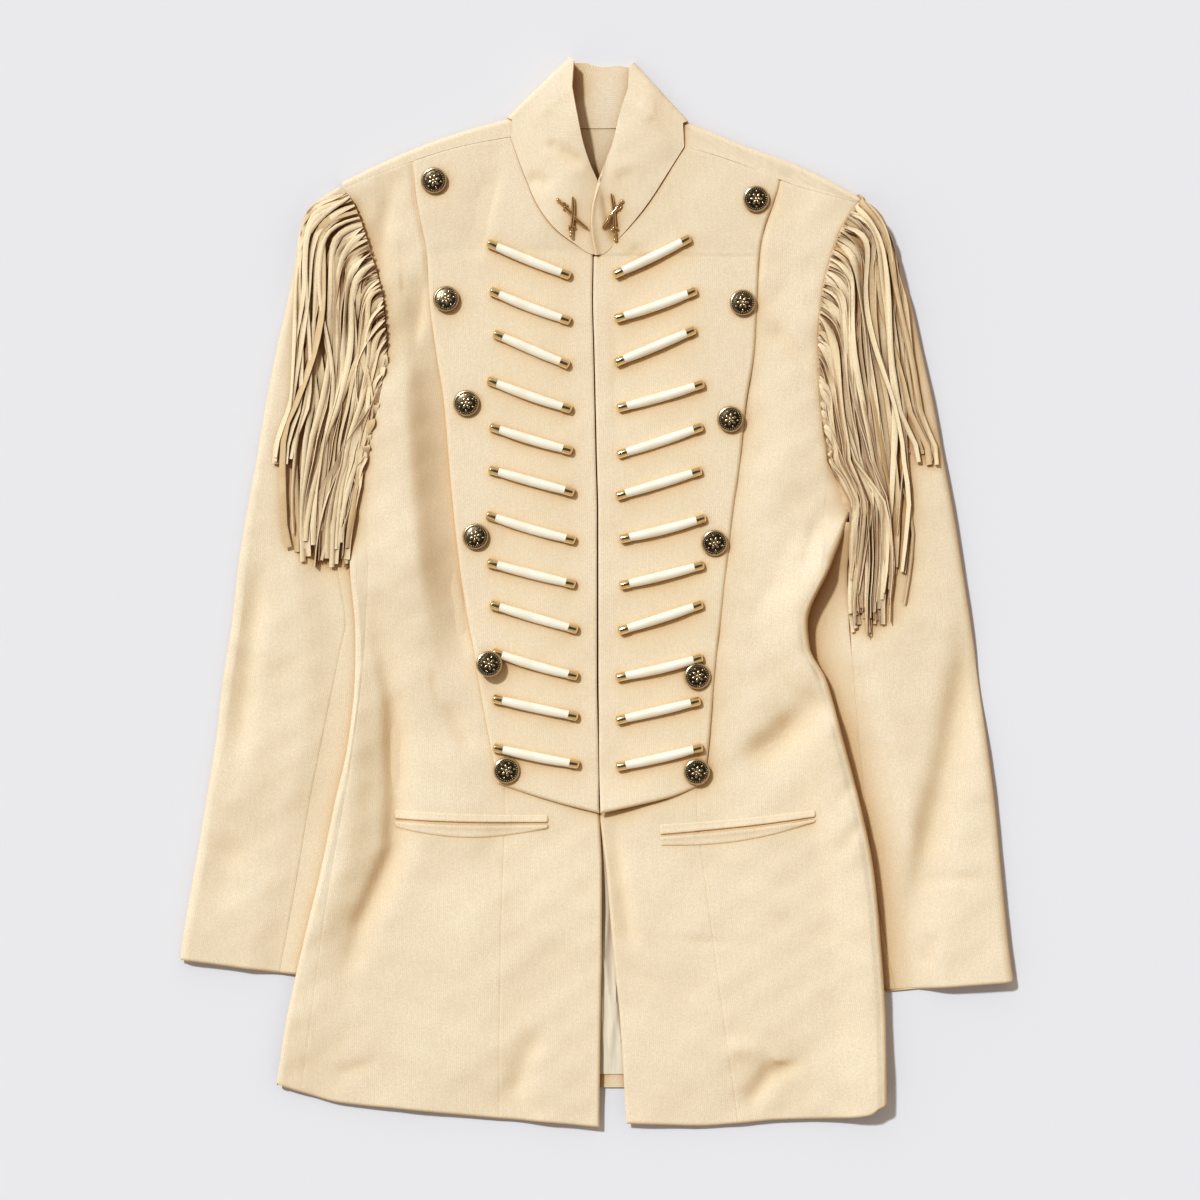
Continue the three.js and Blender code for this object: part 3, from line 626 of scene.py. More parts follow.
    def bibs(self, half: Half, x: Array, y: Array) -> Array:
        """Height of the bib halves.

        Args:
            half: the half that the places lie on.
            x: places across.
            y: places up.

        Returns:
            Height of the upper face.
        """
        folds = self.bib_depth * sum(fold.at(x, y) for fold in self.bib_folds)
        lifted = (5.2 if half.out > 0 else 1.4) * smooth(-146, -182, y) * smooth(84, 12, np.abs(x))
        return self.bib + 0.5 * self.uneven(x, y) + folds + lifted


RELIEF = Relief()


@dataclass(frozen=True)
class Edge:
    """How cloth ends: the width over which it rolls down, and how far."""

    width: float
    drop: float

    def at(self, away: Array) -> Array:
        """Height taken off at a distance from the edge."""
        return self.drop * np.clip(1 - away / self.width, 0, 1) ** 2


CLEAR = 0.2
THIN = 1.8
SEAM = Edge(1.8, 0.3)
SIDE_SEAM = Edge(1.6, 0.12)
FREE = Edge(2.4, 1.7)


def lowered(grid: Array, left: Edge, right: Edge, top: Edge, bottom: Edge) -> Array:
    """Roll a panel's edges down.

    Args:
        grid: the panel's points by row and column.
        left: how the first column ends.
        right: how the last column ends.
        top: how the first row ends.
        bottom: how the last row ends.

    Returns:
        The panel's points, with the edges lower.
    """
    across, down = row_lengths(grid), column_lengths(grid)
    drop = left.at(across) + right.at(across[:, -1:] - across)
    drop = np.maximum(drop, top.at(down) + bottom.at(down[-1:] - down))
    result = grid.copy()
    result[..., 2] -= drop
    return result


def with_height(plane: Array, height: Callable[[Array, Array], Array]) -> Array:
    """Raise a grid of level points to the height at each place."""
    return np.concatenate([plane, height(plane[..., 0], plane[..., 1])[..., None]], axis=-1)


def at_height(plane: Array, height: float) -> Array:
    """Put level points at one height."""
    return np.concatenate([plane, np.full((*plane.shape[:2], 1), height)], axis=-1)


def fold_round(start: Array, end: Array, high: Array, low: Array, reach: Array, steps: int) -> Array:
    """Points round a soft fold, from its upper face to its lower one.

    Args:
        start: where each row comes from, by row.
        end: outermost point of the fold, by row.
        high: height of the upper face, by row.
        low: height of the lower face, by row.
        reach: how far in the fold starts, by row.
        steps: number of points.

    Returns:
        Points by row and step.
    """
    towards = end - start
    towards = towards / np.linalg.norm(towards, axis=1)[:, None]
    angle = np.linspace(math.pi / 2, -math.pi / 2, steps)
    back = reach[:, None] * (np.cos(angle)[None] - 1)
    level = end[:, None] + towards[:, None] * back[..., None]
    middle, size = (high + low) / 2, (high - low) / 2
    height = middle[:, None] + size[:, None] * np.sin(angle)[None]
    return np.concatenate([level, height[..., None]], axis=-1)


class Graph:
    """A node tree that is filled node by node."""

    def __init__(self, tree: bpy.types.NodeTree) -> None:
        """Start with a tree."""
        self.tree = tree

    def node(self, kind: str, values: dict[str | int, object] | None = None, **settings: object) -> Node:
        """Add a node.

        Args:
            kind: the node's type.
            values: a value or an output to link, by input socket.
            settings: the node's properties.

        Returns:
            The node.
        """
        node = self.tree.nodes.new(kind)
        for name, value in settings.items():
            setattr(node, name, value)
        for socket, value in (values or {}).items():
            if isinstance(value, Socket):
                self.link(value, node.inputs[socket])
            else:
                node.inputs[socket].default_value = value
        return node

    def link(self, output: Socket, socket: Socket) -> None:
        """Link an output to an input socket."""
        self.tree.links.new(output, socket)

    def place(self) -> Socket:
        """Place on the piece, in Object coordinates."""
        return self.node("ShaderNodeTexCoord").outputs["Object"]

    def bump(self, shader: Node, height: object, strength: float, distance: float) -> None:
        """Raise a shader's surface by a height."""
        bump = self.node("ShaderNodeBump", {"Strength": strength, "Distance": distance, "Height": height})
        self.link(bump.outputs[0], shader.inputs["Normal"])

    def open_air(self, distance: float, samples: int, facing: tuple | None = None) -> Socket:
        """Share of open air around a place.

        Args:
            distance: how far it is looked for, in metres.
            samples: rays that look for it.
            facing: which way they look; the surface's own way if None.

        Returns:
            The share's socket.
        """
        values = {"Distance": distance}
        if facing:
            values["Normal"] = self.node("ShaderNodeCombineXYZ", dict(enumerate(facing))).outputs[0]
        return self.node("ShaderNodeAmbientOcclusion", values, samples=samples).outputs["AO"]

    def math(self, operation: str, *values: object) -> Socket:
        """Combine numbers and outputs; gives the result's socket."""
        return self.node("ShaderNodeMath", dict(enumerate(values)), operation=operation).outputs[0]

    def noise(self, vector: object, scale: object, detail: float = 3, rough: float = 0.5) -> Socket:
        """Add even noise; gives its value's socket."""
        values = {"Vector": vector, "Scale": scale, "Detail": detail, "Roughness": rough}
        return self.node("ShaderNodeTexNoise", values).outputs["Fac"]

    def blend(self, share: object, first: object, second: object, way: str = "MIX") -> Socket:
        """Mix two colours; gives the result's socket."""
        mix = self.node("ShaderNodeMix", {0: share, 6: first, 7: second}, data_type="RGBA", blend_type=way)
        return mix.outputs[2]

    def steps(self, value: object, low: float, high: float, to_low: float = 0,
              to_high: float = 1) -> Socket:
        """Map a range of values smoothly to another; gives the result's socket."""
        values = {0: value, 1: low, 2: high, 3: to_low, 4: to_high}
        return self.node("ShaderNodeMapRange", values, interpolation_type="SMOOTHSTEP").outputs[0]


def effect(name: str, inputs: dict[str, tuple[str, object]],
           outputs: dict[str, str]) -> tuple[Graph, object, object]:
    """Start a shader node group.

    Args:
        name: the group's name.
        inputs: socket type and default by input name.
        outputs: socket type by output name.

    Returns:
        The group's graph, its input node's outputs and its output node.
    """
    tree = bpy.data.node_groups.new(name, "ShaderNodeTree")
    for label, (kind, default) in inputs.items():
        socket = tree.interface.new_socket(label, in_out="INPUT", socket_type=kind)
        if default is not None:
            socket.default_value = default
    for label, kind in outputs.items():
        tree.interface.new_socket(label, in_out="OUTPUT", socket_type=kind)
    graph = Graph(tree)
    start = graph.node("NodeGroupInput")
    return graph, start.outputs, graph.node("NodeGroupOutput")


def twill_effect() -> bpy.types.NodeTree:
    """Build the woven twill with its nap: a height and a tone from the cloth's own UV."""
    number = "NodeSocketFloat"
    graph, given, end = effect(
        "woven_twill",
        {"UV": ("NodeSocketVector", None), "Pitch": (number, 0.0011), "Fuzz": (number, 0.5)},
        {"Height": number, "Tone": number},
    )
    parts = graph.node("ShaderNodeSeparateXYZ", {0: given["UV"]}).outputs
    wander = graph.noise(given["UV"], 160, 2)
    slant = graph.math("ADD", graph.math("ADD", parts[0], parts[1]), graph.math("MULTIPLY", wander, 0.0016))
    line = graph.math("DIVIDE", slant, given["Pitch"])
    rib = graph.math("SINE", graph.math("MULTIPLY", line, 2 * math.pi))
    yarn = graph.math("SINE", graph.math("MULTIPLY", graph.math("DIVIDE", parts[0], given["Pitch"]), 4.3))
    weave = graph.math("ADD", graph.math("MULTIPLY", rib, 0.6), graph.math("MULTIPLY", yarn, 0.3))
    fuzz = graph.noise(given["UV"], 560, 4, 0.7)
    height = graph.math("ADD", graph.math("MULTIPLY", weave, 0.35), graph.math("MULTIPLY", fuzz, given["Fuzz"]))
    tone = graph.math("ADD", graph.math("MULTIPLY", weave, 0.25), graph.math("SUBTRACT", fuzz, 0.5))
    graph.link(height, end.inputs["Height"])
    graph.link(tone, end.inputs["Tone"])
    return graph.tree


def mottle_effect() -> bpy.types.NodeTree:
    """Build soft mottling: broad patches, small clouds and stretched streaks along one way."""
    number = "NodeSocketFloat"
    graph, given, end = effect(
        "soft_mottle",
        {"Place": ("NodeSocketVector", None), "Broad": (number, 14.0), "Small": (number, 240.0)},
        {"Broad": number, "Small": number, "Streaks": number},
    )
    for size, detail in (("Broad", 2.0), ("Small", 4.0)):
        graph.link(graph.noise(given["Place"], given[size], detail), end.inputs[size])
    long = graph.node("ShaderNodeMapping", {"Vector": given["Place"], "Scale": (1.0, 0.09, 0.3)}).outputs[0]
    streaks = graph.noise(long, 620, 3, 0.6)
    graph.link(streaks, end.inputs["Streaks"])
    return graph.tree


@dataclass(frozen=True)
class Finish:
    """What every finish has: its name and its base colour, linear."""

    name: str
    colour: tuple[float, float, float]

    def start(self) -> tuple[Material, Graph, Node]:
        """Make a material with only its shader; gives the material, its graph and the shader."""
        material = bpy.data.materials.new(self.name)
        material.use_nodes = True
        material.diffuse_color = (*self.colour, 1)
        tree = material.node_tree
        return material, Graph(tree), tree.nodes["Principled BSDF"]

    def settle(self, shader: Node, **values: object) -> None:
        """Set the shader's constants, each by its socket's name with _ for a space."""
        for name, value in values.items():
            shader.inputs[name.replace("_", " ")].default_value = value


@dataclass(frozen=True)
class WoolFinish(Finish):
    """Fulled wool twill with a short nap, with shade painted into its colour: a warm painted shade on slopes turned
    from the sun, and a deep brown painted shadow where something stands between the cloth and the sun.
    """

    deep: tuple[float, float, float] = (0.74, 0.58, 0.36)
    pale: tuple[float, float, float] = (0.97, 0.90, 0.75)
    # The next four values paint shade into the colour: a painted shadow colour, a painted slope shade, and how far and
    # which way (towards the sun) the occlusion rays look.
    painted_shadow: tuple[float, float, float] = (0.36, 0.14, 0.025)
    painted_lee_shade: tuple[float, float, float] = (0.84, 0.57, 0.26)
    painted_shade_reach: float = 0.03
    toward_light: tuple[float, float, float] = (-0.36, 0.42, 0.83)
    nap: float = 0.00036

    def build(self, twill: bpy.types.NodeTree, mottle: bpy.types.NodeTree) -> Material:
        """Build the material.

        Args:
            twill: the woven twill effect.
            mottle: the mottling effect.

        Returns:
            The material.
        """
        material, graph, shader = self.start()
        uv = graph.node("ShaderNodeUVMap", uv_map="cloth").outputs[0]
        place = graph.place()
        weave = graph.node("ShaderNodeGroup", {"UV": uv}, node_tree=twill).outputs
        clouds = graph.node("ShaderNodeGroup", {"Place": place}, node_tree=mottle).outputs
        plain = (*self.colour, 1)
        shade = graph.blend(graph.steps(clouds["Broad"], 0.3, 0.7, 0, 0.22), plain, (*self.deep, 1))
        shade = graph.blend(graph.steps(clouds["Small"], 0.35, 0.65, 0, 0.36), shade, (*self.pale, 1))
        shade = graph.blend(graph.steps(clouds["Streaks"], 0.42, 0.72, 0, 0.24), shade, (*self.deep, 1))
        grain = graph.steps(weave["Tone"], -0.2, 0.2, 0.8, 0)
        shade = graph.blend(grain, shade, (*self.deep, 1))
        # Painted shade: occlusion looked for towards the sun warms slopes turned from it, and gives deep painted
        # shadow where walls stand between them and the sun.
        open_air = graph.open_air(self.painted_shade_reach, 5, self.toward_light)
        shade = graph.blend(graph.steps(open_air, 0.45, 1, 1, 0), shade, (*self.painted_lee_shade, 1))
        shade = graph.blend(graph.steps(open_air, 0.2, 0.74, 1, 0), shade, (*self.painted_shadow, 1))
        graph.link(shade, shader.inputs["Base Color"])
        self.settle(shader, Roughness=0.92, Sheen_Weight=0.12, Sheen_Roughness=0.6, Specular_IOR_Level=0.15)
        graph.bump(shader, weave["Height"], 0.55, self.nap)
        return material


@dataclass(frozen=True)
class SatinFinish(Finish):
    """Smooth lining satin, with painted shadow in its creases."""

    # Colour of the painted shadow in the satin's creases.
    painted_shadow: tuple[float, float, float] = (0.56, 0.28, 0.08)

    def build(self, mottle: bpy.types.NodeTree) -> Material:
        """Build the material from the mottling effect."""
        material, graph, shader = self.start()
        place = graph.place()
        clouds = graph.node("ShaderNodeGroup", {"Place": place}, node_tree=mottle).outputs
        darker = tuple(c * 0.82 for c in self.colour)
        shade = graph.blend(graph.steps(clouds["Streaks"], 0.3, 0.7, 0, 0.5), (*self.colour, 1), (*darker, 1))
        # Painted shadow: the colour darkens where the satin is closed in.
        shade = graph.blend(graph.steps(graph.open_air(0.012, 4), 0.2, 0.8, 0.9, 0), shade, (*self.painted_shadow, 1))
        graph.link(shade, shader.inputs["Base Color"])
        rough = graph.steps(clouds["Small"], 0.3, 0.7, 0.32, 0.42)
        graph.link(rough, shader.inputs["Roughness"])
        graph.bump(shader, clouds["Streaks"], 0.2, 0.0001)
        return material


@dataclass(frozen=True)
class SuedeFinish(Finish):
    """Split suede in ribbons, each of its own tone, with painted shadow in the gaps between them."""

    dark: tuple[float, float, float] = (0.56, 0.34, 0.12)
    bleached: tuple[float, float, float] = (0.97, 0.84, 0.60)
    # gap is the colour of the painted shadow between ribbons; the next two values say how far and which way (towards
    # the sun) the occlusion rays look.
    gap: tuple[float, float, float] = (0.26, 0.10, 0.015)
    gap_shadow_reach: float = 0.008
    gap_shadow_toward_light: tuple[float, float, float] = (-0.3, 0.35, 0.89)

    def build(self) -> Material:
        """Build the material."""
        material, graph, shader = self.start()
        place = graph.place()
        tone = graph.node("ShaderNodeAttribute", attribute_name="tone").outputs["Fac"]
        shade = graph.blend(tone, (*self.colour, 1), (*self.dark, 1))
        nap = graph.noise(place, 700, 5, 0.7)
        shade = graph.blend(graph.steps(nap, 0.35, 0.7, 0, 0.28), shade, (*self.dark, 1))
        patches = graph.noise(place, 90, 2)
        shade = graph.blend(graph.steps(patches, 0.45, 0.75, 0, 0.25), shade, (*self.bleached, 1))
        # Painted shadow: ribbons darken where others stand between them and the sun.
        open_air = graph.open_air(self.gap_shadow_reach, 4, self.gap_shadow_toward_light)
        shade = graph.blend(graph.steps(open_air, 0.4, 0.97, 0.98, 0), shade, (*self.gap, 1))
        graph.link(shade, shader.inputs["Base Color"])
        self.settle(shader, Roughness=0.95, Sheen_Weight=0.25, Sheen_Roughness=0.5, Specular_IOR_Level=0.15)
        graph.bump(shader, nap, 0.5, 0.0003)
        return material


@dataclass(frozen=True)
class BoneFinish(Finish):
    """Polished ivory-coloured bone with faint grain along the pipe."""

    line: tuple[float, float, float] = (0.80, 0.66, 0.40)

    def build(self) -> Material:
        """Build the material."""
        material, graph, shader = self.start()
        uv = graph.node("ShaderNodeUVMap", uv_map="cloth").outputs[0]
        long = graph.node("ShaderNodeMapping", {"Vector": uv, "Scale": (1.0, 0.05, 1.0)}).outputs[0]
        grain = graph.noise(long, 900, 4, 0.6)
        shade = graph.blend(graph.steps(grain, 0.45, 0.75, 0, 0.4), (*self.colour, 1), (*self.line, 1))
        patches = graph.noise(uv, 60, 2)
        shade = graph.blend(graph.steps(patches, 0.4, 0.8, 0, 0.2), shade, (*self.line, 1))
        graph.link(shade, shader.inputs["Base Color"])
        rough = graph.steps(grain, 0.3, 0.7, 0.22, 0.34)
        graph.link(rough, shader.inputs["Roughness"])
        self.settle(shader, Subsurface_Weight=0.08, Subsurface_Radius=(0.002, 0.0015, 0.001))
        graph.bump(shader, grain, 0.15, 0.0001)
        return material


@dataclass(frozen=True)
class MetalFinish(Finish):
    """Metal with tarnish that gathers in its hollows."""

    tarnish: tuple[float, float, float] = (0.10, 0.07, 0.04)
    amount: float = 0.6
    rough: tuple[float, float] = (0.2, 0.5)

    def build(self) -> Material:
        """Build the material."""
        material, graph, shader = self.start()
        place = graph.place()
        hollow = graph.node("ShaderNodeAttribute", attribute_name="hollow").outputs["Fac"]
        specks = graph.noise(place, 600, 4, 0.6)
        worn = graph.math("ADD", graph.steps(specks, 0.45, 0.75, 0, 0.45), hollow)
        worn = graph.math("MULTIPLY", graph.math("MINIMUM", worn, 1.0), self.amount)
        shade = graph.blend(worn, (*self.colour, 1), (*self.tarnish, 1))
        graph.link(shade, shader.inputs["Base Color"])
        rough = graph.steps(specks, 0.3, 0.7, self.rough[0], self.rough[1])
        graph.link(rough, shader.inputs["Roughness"])
        self.settle(shader, Metallic=1.0)
        graph.bump(shader, specks, 0.2, 0.0001)
        return material


@dataclass(frozen=True)
class FloorFinish(Finish):
    """Matt pale paper."""

    def build(self) -> Material:
        """Build the material."""
        material, graph, shader = self.start()
        place = graph.place()
        near = tuple(c * 0.996 for c in self.colour)
        shade = graph.blend(graph.noise(place, 3, 1), (*self.colour, 1), (*near, 1))
        graph.link(shade, shader.inputs["Base Color"])
        self.settle(shader, Roughness=1.0, Specular_IOR_Level=0.0)
        return material


class Finishes:
    """Every material of the jacket, built once."""

    def __init__(self) -> None:
        """Build the effects and the materials."""
        twill, mottle = twill_effect(), mottle_effect()
        self.wool = WoolFinish("cream_wool", (0.93, 0.835, 0.65)).build(twill, mottle)
        self.satin = SatinFinish("lining_satin", (0.86, 0.77, 0.58)).build(mottle)
        self.suede = SuedeFinish("tan_suede", (0.98, 0.82, 0.54)).build()
        self.bone = BoneFinish("ivory_bone", (0.95, 0.90, 0.75)).build()
        self.antique = MetalFinish("antique_metal", (0.60, 0.47, 0.28), amount=0.85, rough=(0.16, 0.3)).build()
        self.brass = MetalFinish("polished_brass", (0.86, 0.66, 0.36), amount=0.2, rough=(0.1, 0.18)).build()
        self.steel = MetalFinish("silvered_steel", (0.66, 0.46, 0.22), (0.05, 0.03, 0.01), 1.0,
                                 (0.06, 0.16)).build()
        self.floor = FloorFinish("pale_paper", (0.775, 0.775, 0.79)).build()


@dataclass
class Body:
    """Back, lining, fronts, side panels and pocket welts."""

    finishes: Finishes
    step: float = 3.2
    seam: float = 0.1
    back_step: float = 8.0
    under: tuple[float, ...] = (6, 9, 12, 16, 20, 24, 28, 31, 34)

    def build(self) -> None:
        """Build every panel of the body."""
        self.back()
        self.lining()
        for half, pocket in zip((RIGHT, LEFT), POCKETS):
            welts = self.welts(pocket)
            self.front_centre(half)
            self.front_side(half, welts)
            self.side_panel(half)

    def front_panel(self, half: Half, label: str, plane: Array, edges: Sequence[Edge]) -> Object:
        """Raise a front panel on the body's relief and lay it.

        Args:
            half: the half that it belongs to.
            label: its name without the half's.
            plane: its level points.
            edges: how its left, right, top and bottom end.

        Returns:
            The panel.
        """
        plane[0, :, 1] -= self.seam
        grid = lowered(with_height(plane, lambda a, b: RELIEF.body(half, a, b)), *edges)
        cloth = Cloth(self.finishes.wool)
        return cloth.lay_sheet(f"{half.name}_{label}", grid, half.out < 0)

    def front_centre(self, half: Half) -> Object:
        """Front between the front edge and the princess seam."""
        top_y, join = half.shoulder[0][1], half.shoulder[2][1]
        length = top_y - half.hem[0][1]
        y = top_y - stations(length, self.step) * length
        low, seam_low = half.hem[0][1], half.hem[-1][1]
        y_seam = np.interp(y, [low, -350, 345, top_y], [seam_low, -350, 345, join])
        inset = half.out * self.seam / 2
        ends = [half.shoulder[2], half.hem[-1]]
        left = np.stack([half.centre(y) + inset, y], axis=-1)
        right = np.stack([half.line("princess", y_seam, ends) - inset, y_seam], axis=-1)
        share = stations(85, self.step)
        plane = spread(left, right, along(half.shoulder[:3], share), along(half.hem, share))
        return self.front_panel(half, "front_centre", plane, (FREE, SEAM, SEAM, FREE))

    def front_side(self, half: Half, welts: list[Object]) -> Object:
        """Front between the princess seam and the side seam or armhole."""
        top_y, arm_y = half.shoulder[2][1], half.shoulder[4][1]
        low, side_low = half.hem[-1][1], half.side_hem[-2][1]
        length = top_y - low
        y = top_y - stations(length, self.step) * length
        y_side = np.interp(y, [low, -350, 298, top_y], [side_low, -350, 298, arm_y])
        inset = half.out * self.seam / 2
        left = np.stack([half.line("princess", y, [half.shoulder[2], half.hem[-1]]) + inset, y], axis=-1)
        ends = [half.shoulder[4], half.side_hem[-2]]
        right = np.stack([half.line("side", y_side, ends) - inset * 0.3, y_side], axis=-1)
        share = stations(120, self.step)
        plane = spread(left, right, along(half.shoulder[2:], share), along(half.side_hem[:-1], share))
        return self.front_panel(half, "front_side", plane, (SEAM, SIDE_SEAM, SEAM, FREE))

    def side_panel(self, half: Half) -> Object:
        """Side panel, from the side seam round the body's edge and in over the sleeve."""
        top_y, low = 106.0, half.side_hem[-2][1]
        edge_low = half.side_hem[-1][1]
        length = top_y - low
        y = top_y - stations(length, self.step) * length
        y_edge = np.interp(y, [low, -350, 20, top_y], [edge_low, -350, 20, half.armpit - 1])
        inset = half.out * self.seam / 2
        start = np.stack([half.line("side", y, [half.side_hem[-2]]) + inset * 0.3, y], axis=-1)
        end = np.stack([half.line("edge", y_edge, [half.side_hem[-1]]), y_edge], axis=-1)
        up = half.rise(y_edge)
        width = np.linalg.norm(end - start, axis=1)
        soft = 5.5 * np.exp(-((y_edge + 15) / 55) ** 2) if half.out > 0 else 0 * y_edge
        reach = np.minimum(4.6 + soft, width * 0.7)
        towards = (end - start) / width[:, None]
        inner_end = end - towards * reach[:, None]
        high = RELIEF.body(half, inner_end[:, 0], inner_end[:, 1])
        low_z = CLEAR + RELIEF.edge_under * up
        share = stations(14, 2.2)[:-1]
        upper = start[:, None] * (1 - share)[None, :, None] + inner_end[:, None] * share[None, :, None]
        upper = with_height(upper, lambda a, b: RELIEF.body(half, a, b))
        upper[..., 2] -= SIDE_SEAM.at((share[None] * (width - reach)[:, None]))
        rounded = fold_round(start, end, high, low_z, reach, 11)
        inwards = np.array([-half.out, 0.0])
        away = np.array(self.under)
        level = end[:, None] + inwards * away[None, :, None]
        beneath = CLEAR + RELIEF.edge_under * up[:, None] * (1 - smooth(18, 31, away))[None]
        under = np.concatenate([level, beneath[..., None]], axis=-1)
        grid = np.concatenate([upper, rounded, under], axis=1)
        down = column_lengths(grid)
        grid[:, :len(share) + 4, 2] -= FREE.at(down[-1:] - down)[:, :len(share) + 4]
        return Cloth(self.finishes.wool, THIN).lay_sheet(f"{half.name}_side_panel", grid, half.out < 0)

    def back(self) -> Object:
        """Back, flat from the hem to the shoulders, then round them and forward to their seams."""
        shares = stations(145, 6.0)
        right_top = along([*RIGHT.shoulder[:0:-1], (-65, 374)], shares)
        right_fold = along([*RIGHT.fold[:0:-1], (-66, 390)], shares)
        left_top = along([(66, 366), *LEFT.shoulder[1:]], shares)
        left_fold = along([(67, 388), *LEFT.fold[1:]], shares)
        neck = along([(-65, 374), *NECK_BACK, (66, 366)], np.linspace(0, 1, 26)[1:-1])
        top = np.concatenate([right_top, neck, left_top])
        outer = np.concatenate([right_fold, neck, left_fold])
        count = len(shares)
        wraps = np.zeros(len(top), bool)
        wraps[:count] = True
        wraps[-count:] = True
        hem = HEM_BACK + np.array([0, 0.8, 2.0, 4.0, 8.0])
        y = np.concatenate([hem, np.arange(-388, 318, self.back_step), [318]])
        flat = self.back_rows(y, (top[:, 0] - top[0, 0]) / (top[-1, 0] - top[0, 0]))
        halves = [LEFT if x > 0 else RIGHT for x, _ in top]
        body = np.array([float(RELIEF.body(half, *place[:, None])[0]) for half, place in zip(halves, top)])
        bib = np.array([float(RELIEF.bibs(half, *place[:, None])[0]) for half, place in zip(halves, top)])
        high = np.where(np.abs(top[:, 0]) < 151, bib, body)
        low = np.full(len(top), CLEAR)
        start = np.where(wraps[:, None], top, top - [0, 10])
        outer = np.where(wraps[:, None], outer, top)
        reach = np.minimum(4.5, np.linalg.norm(outer - start, axis=1) * 0.7)
        rounded = fold_round(start, outer, high - 0.3, low, reach, 11)[:, ::-1].transpose(1, 0, 2)
        seam_end = np.concatenate([top + [0, self.seam / 2], (high - SEAM.drop)[:, None]], axis=1)
        near = seam_end + (rounded[-1] - seam_end) * np.array([0.3, 0.3, 0])
        near[:, 2] = high - 0.45
        grid = np.concatenate([flat, rounded, near[None], seam_end[None]])
        grid[:len(y), :, 2] = CLEAR
        keep = np.ones(grid.shape[:2], bool)
        keep[len(y) + 1:] = wraps[None]
        neck_row = np.concatenate([top + [0, 1.5], np.full((len(top), 1), 0.4)], axis=1)
        grid[len(y)] = np.where(wraps[:, None], grid[len(y)], neck_row)
        return Cloth(self.finishes.wool, THIN).lay_sheet("back", grid, False, keep)

    def back_rows(self, y: Array, shares: Array) -> Array:
        """Rows of the back's flat part, between the body's two edges.

        Args:
            y: height of each row.
            shares: places across it.

        Returns:
            Points by row and column, on the surface that the jacket lies on.
        """
        def side_at(half: Half) -> Array:
            tuck, gap = half.out * (self.under[-1] + self.seam), half.out * self.seam
            tucked = half.line("edge", np.clip(y, -396, EDGE_TOP)) - tuck
            armhole = half.line("side", np.maximum(y, SIDE_TOP)) - gap
            start = float(half.line("edge", np.array([EDGE_TOP]))[0]) - tuck
            end = half.line("side", np.array([SIDE_TOP]))[0] - gap
            share = np.clip((y - EDGE_TOP) / (SIDE_TOP - EDGE_TOP), 0, 1)
            between = start * (1 - share) + end * share
            return np.where(y >= SIDE_TOP, armhole, np.where(y > EDGE_TOP, between, tucked))

        right, left = side_at(RIGHT), side_at(LEFT)
        x = right[:, None] * (1 - shares) + left[:, None] * shares
        return np.stack([x, np.repeat(y[:, None], len(shares), axis=1), np.full_like(x, CLEAR)], axis=-1)

    def lining(self) -> Object:
        """Satin lining of the back, where the slit of the fronts shows it."""
        x = np.linspace(-45, 70, 60)
        y = np.linspace(-195, -394, 90)
        plane = np.stack(np.meshgrid(x, y), axis=-1)
        folds = (
            Fold(((10, -240), (6, -300), (13, -350), (9, -392)), (2.2, 3.0), 2.6),
            Fold(((18, -262), (15, -330), (22, -392)), (2.4, 2.2), 2.2),
            Fold(((4, -250), (3, -300), (5, -392)), (2.4, 1.8), 1.8),
            Fold(((14, -300), (19, -340), (16, -392)), (1.6, 1.8), -0.9),
        )
        grid = with_height(plane, lambda a, b: 2.7 + sum(fold.at(a, b) for fold in folds))
        return Cloth(self.finishes.satin, 0.5).lay_sheet("lining", grid, False, slot=Slot.SATIN)

    def welts(self, pocket: "Pocket") -> list[Object]:
        """Build both welts of a pocket, each a folded strip that ends in the slit; gives the two."""
        half = pocket.half
        made = []
        share = stations(130, 2.6)
        start, end = np.array(pocket.start), np.array(pocket.end)
        line = start + (end - start) * share[:, None]
        line[:, 1] -= 1.2 * np.sin(math.pi * share)
        bowed = np.sin(math.pi * share)
        for label, widths, sign in (
            ("upper", pocket.upper[0] + (pocket.upper[1] - pocket.upper[0]) * share, 1),
            ("lower", pocket.lower[0] + (pocket.lower[1] - pocket.lower[0]) * share + pocket.sag * bowed, -1),
        ):
            opening = 0.45 + (0.4 * bowed if sign < 0 else 0)
            part = stations(9, 1.0)[:, None]
            across = opening + part * (widths - opening)[None]
            plane = line[None] + np.stack([np.zeros_like(across), sign * across], axis=-1)
            grid = with_height(plane, lambda a, b: RELIEF.body(half, a, b) + 0.9)
            folded = 0.6 * np.exp(-((across - opening - 2.0) / 2.2) ** 2)
            inner = Edge(0.9, 3.8).at(across - opening)
            outer = Edge(1.6, 0.85).at(across[-1:] - across)
            grid[..., 2] += folded - inner - outer
            ends = row_lengths(grid)
            grid[..., 2] -= Edge(1.6, 0.9).at(ends) + Edge(1.6, 0.9).at(ends[:, -1:] - ends)
            flip = (sign > 0) == (end[0] > start[0])
            name = f"{half.name}_pocket_{label}_welt"
            piece = Cloth(self.finishes.wool, 1.2).lay(name, grid, flip)
            made.append(declare(piece, Slot.WOOL, name))
        return made


@dataclass(frozen=True)
class Pocket:
    """A pocket's slit and the widths of its two welts."""

    half: Half
    start: tuple[float, float]
    end: tuple[float, float]
    upper: tuple[float, float]
    lower: tuple[float, float]
    sag: float


POCKETS = (
    Pocket(RIGHT, (-165.6, -185.7), (-40, -188.6), (8.4, 7.2), (6.2, 4.2), 6.5),
    Pocket(LEFT, (51.7, -198.3), (178.4, -184), (9, 7), (8.3, 3.4), 5),
)


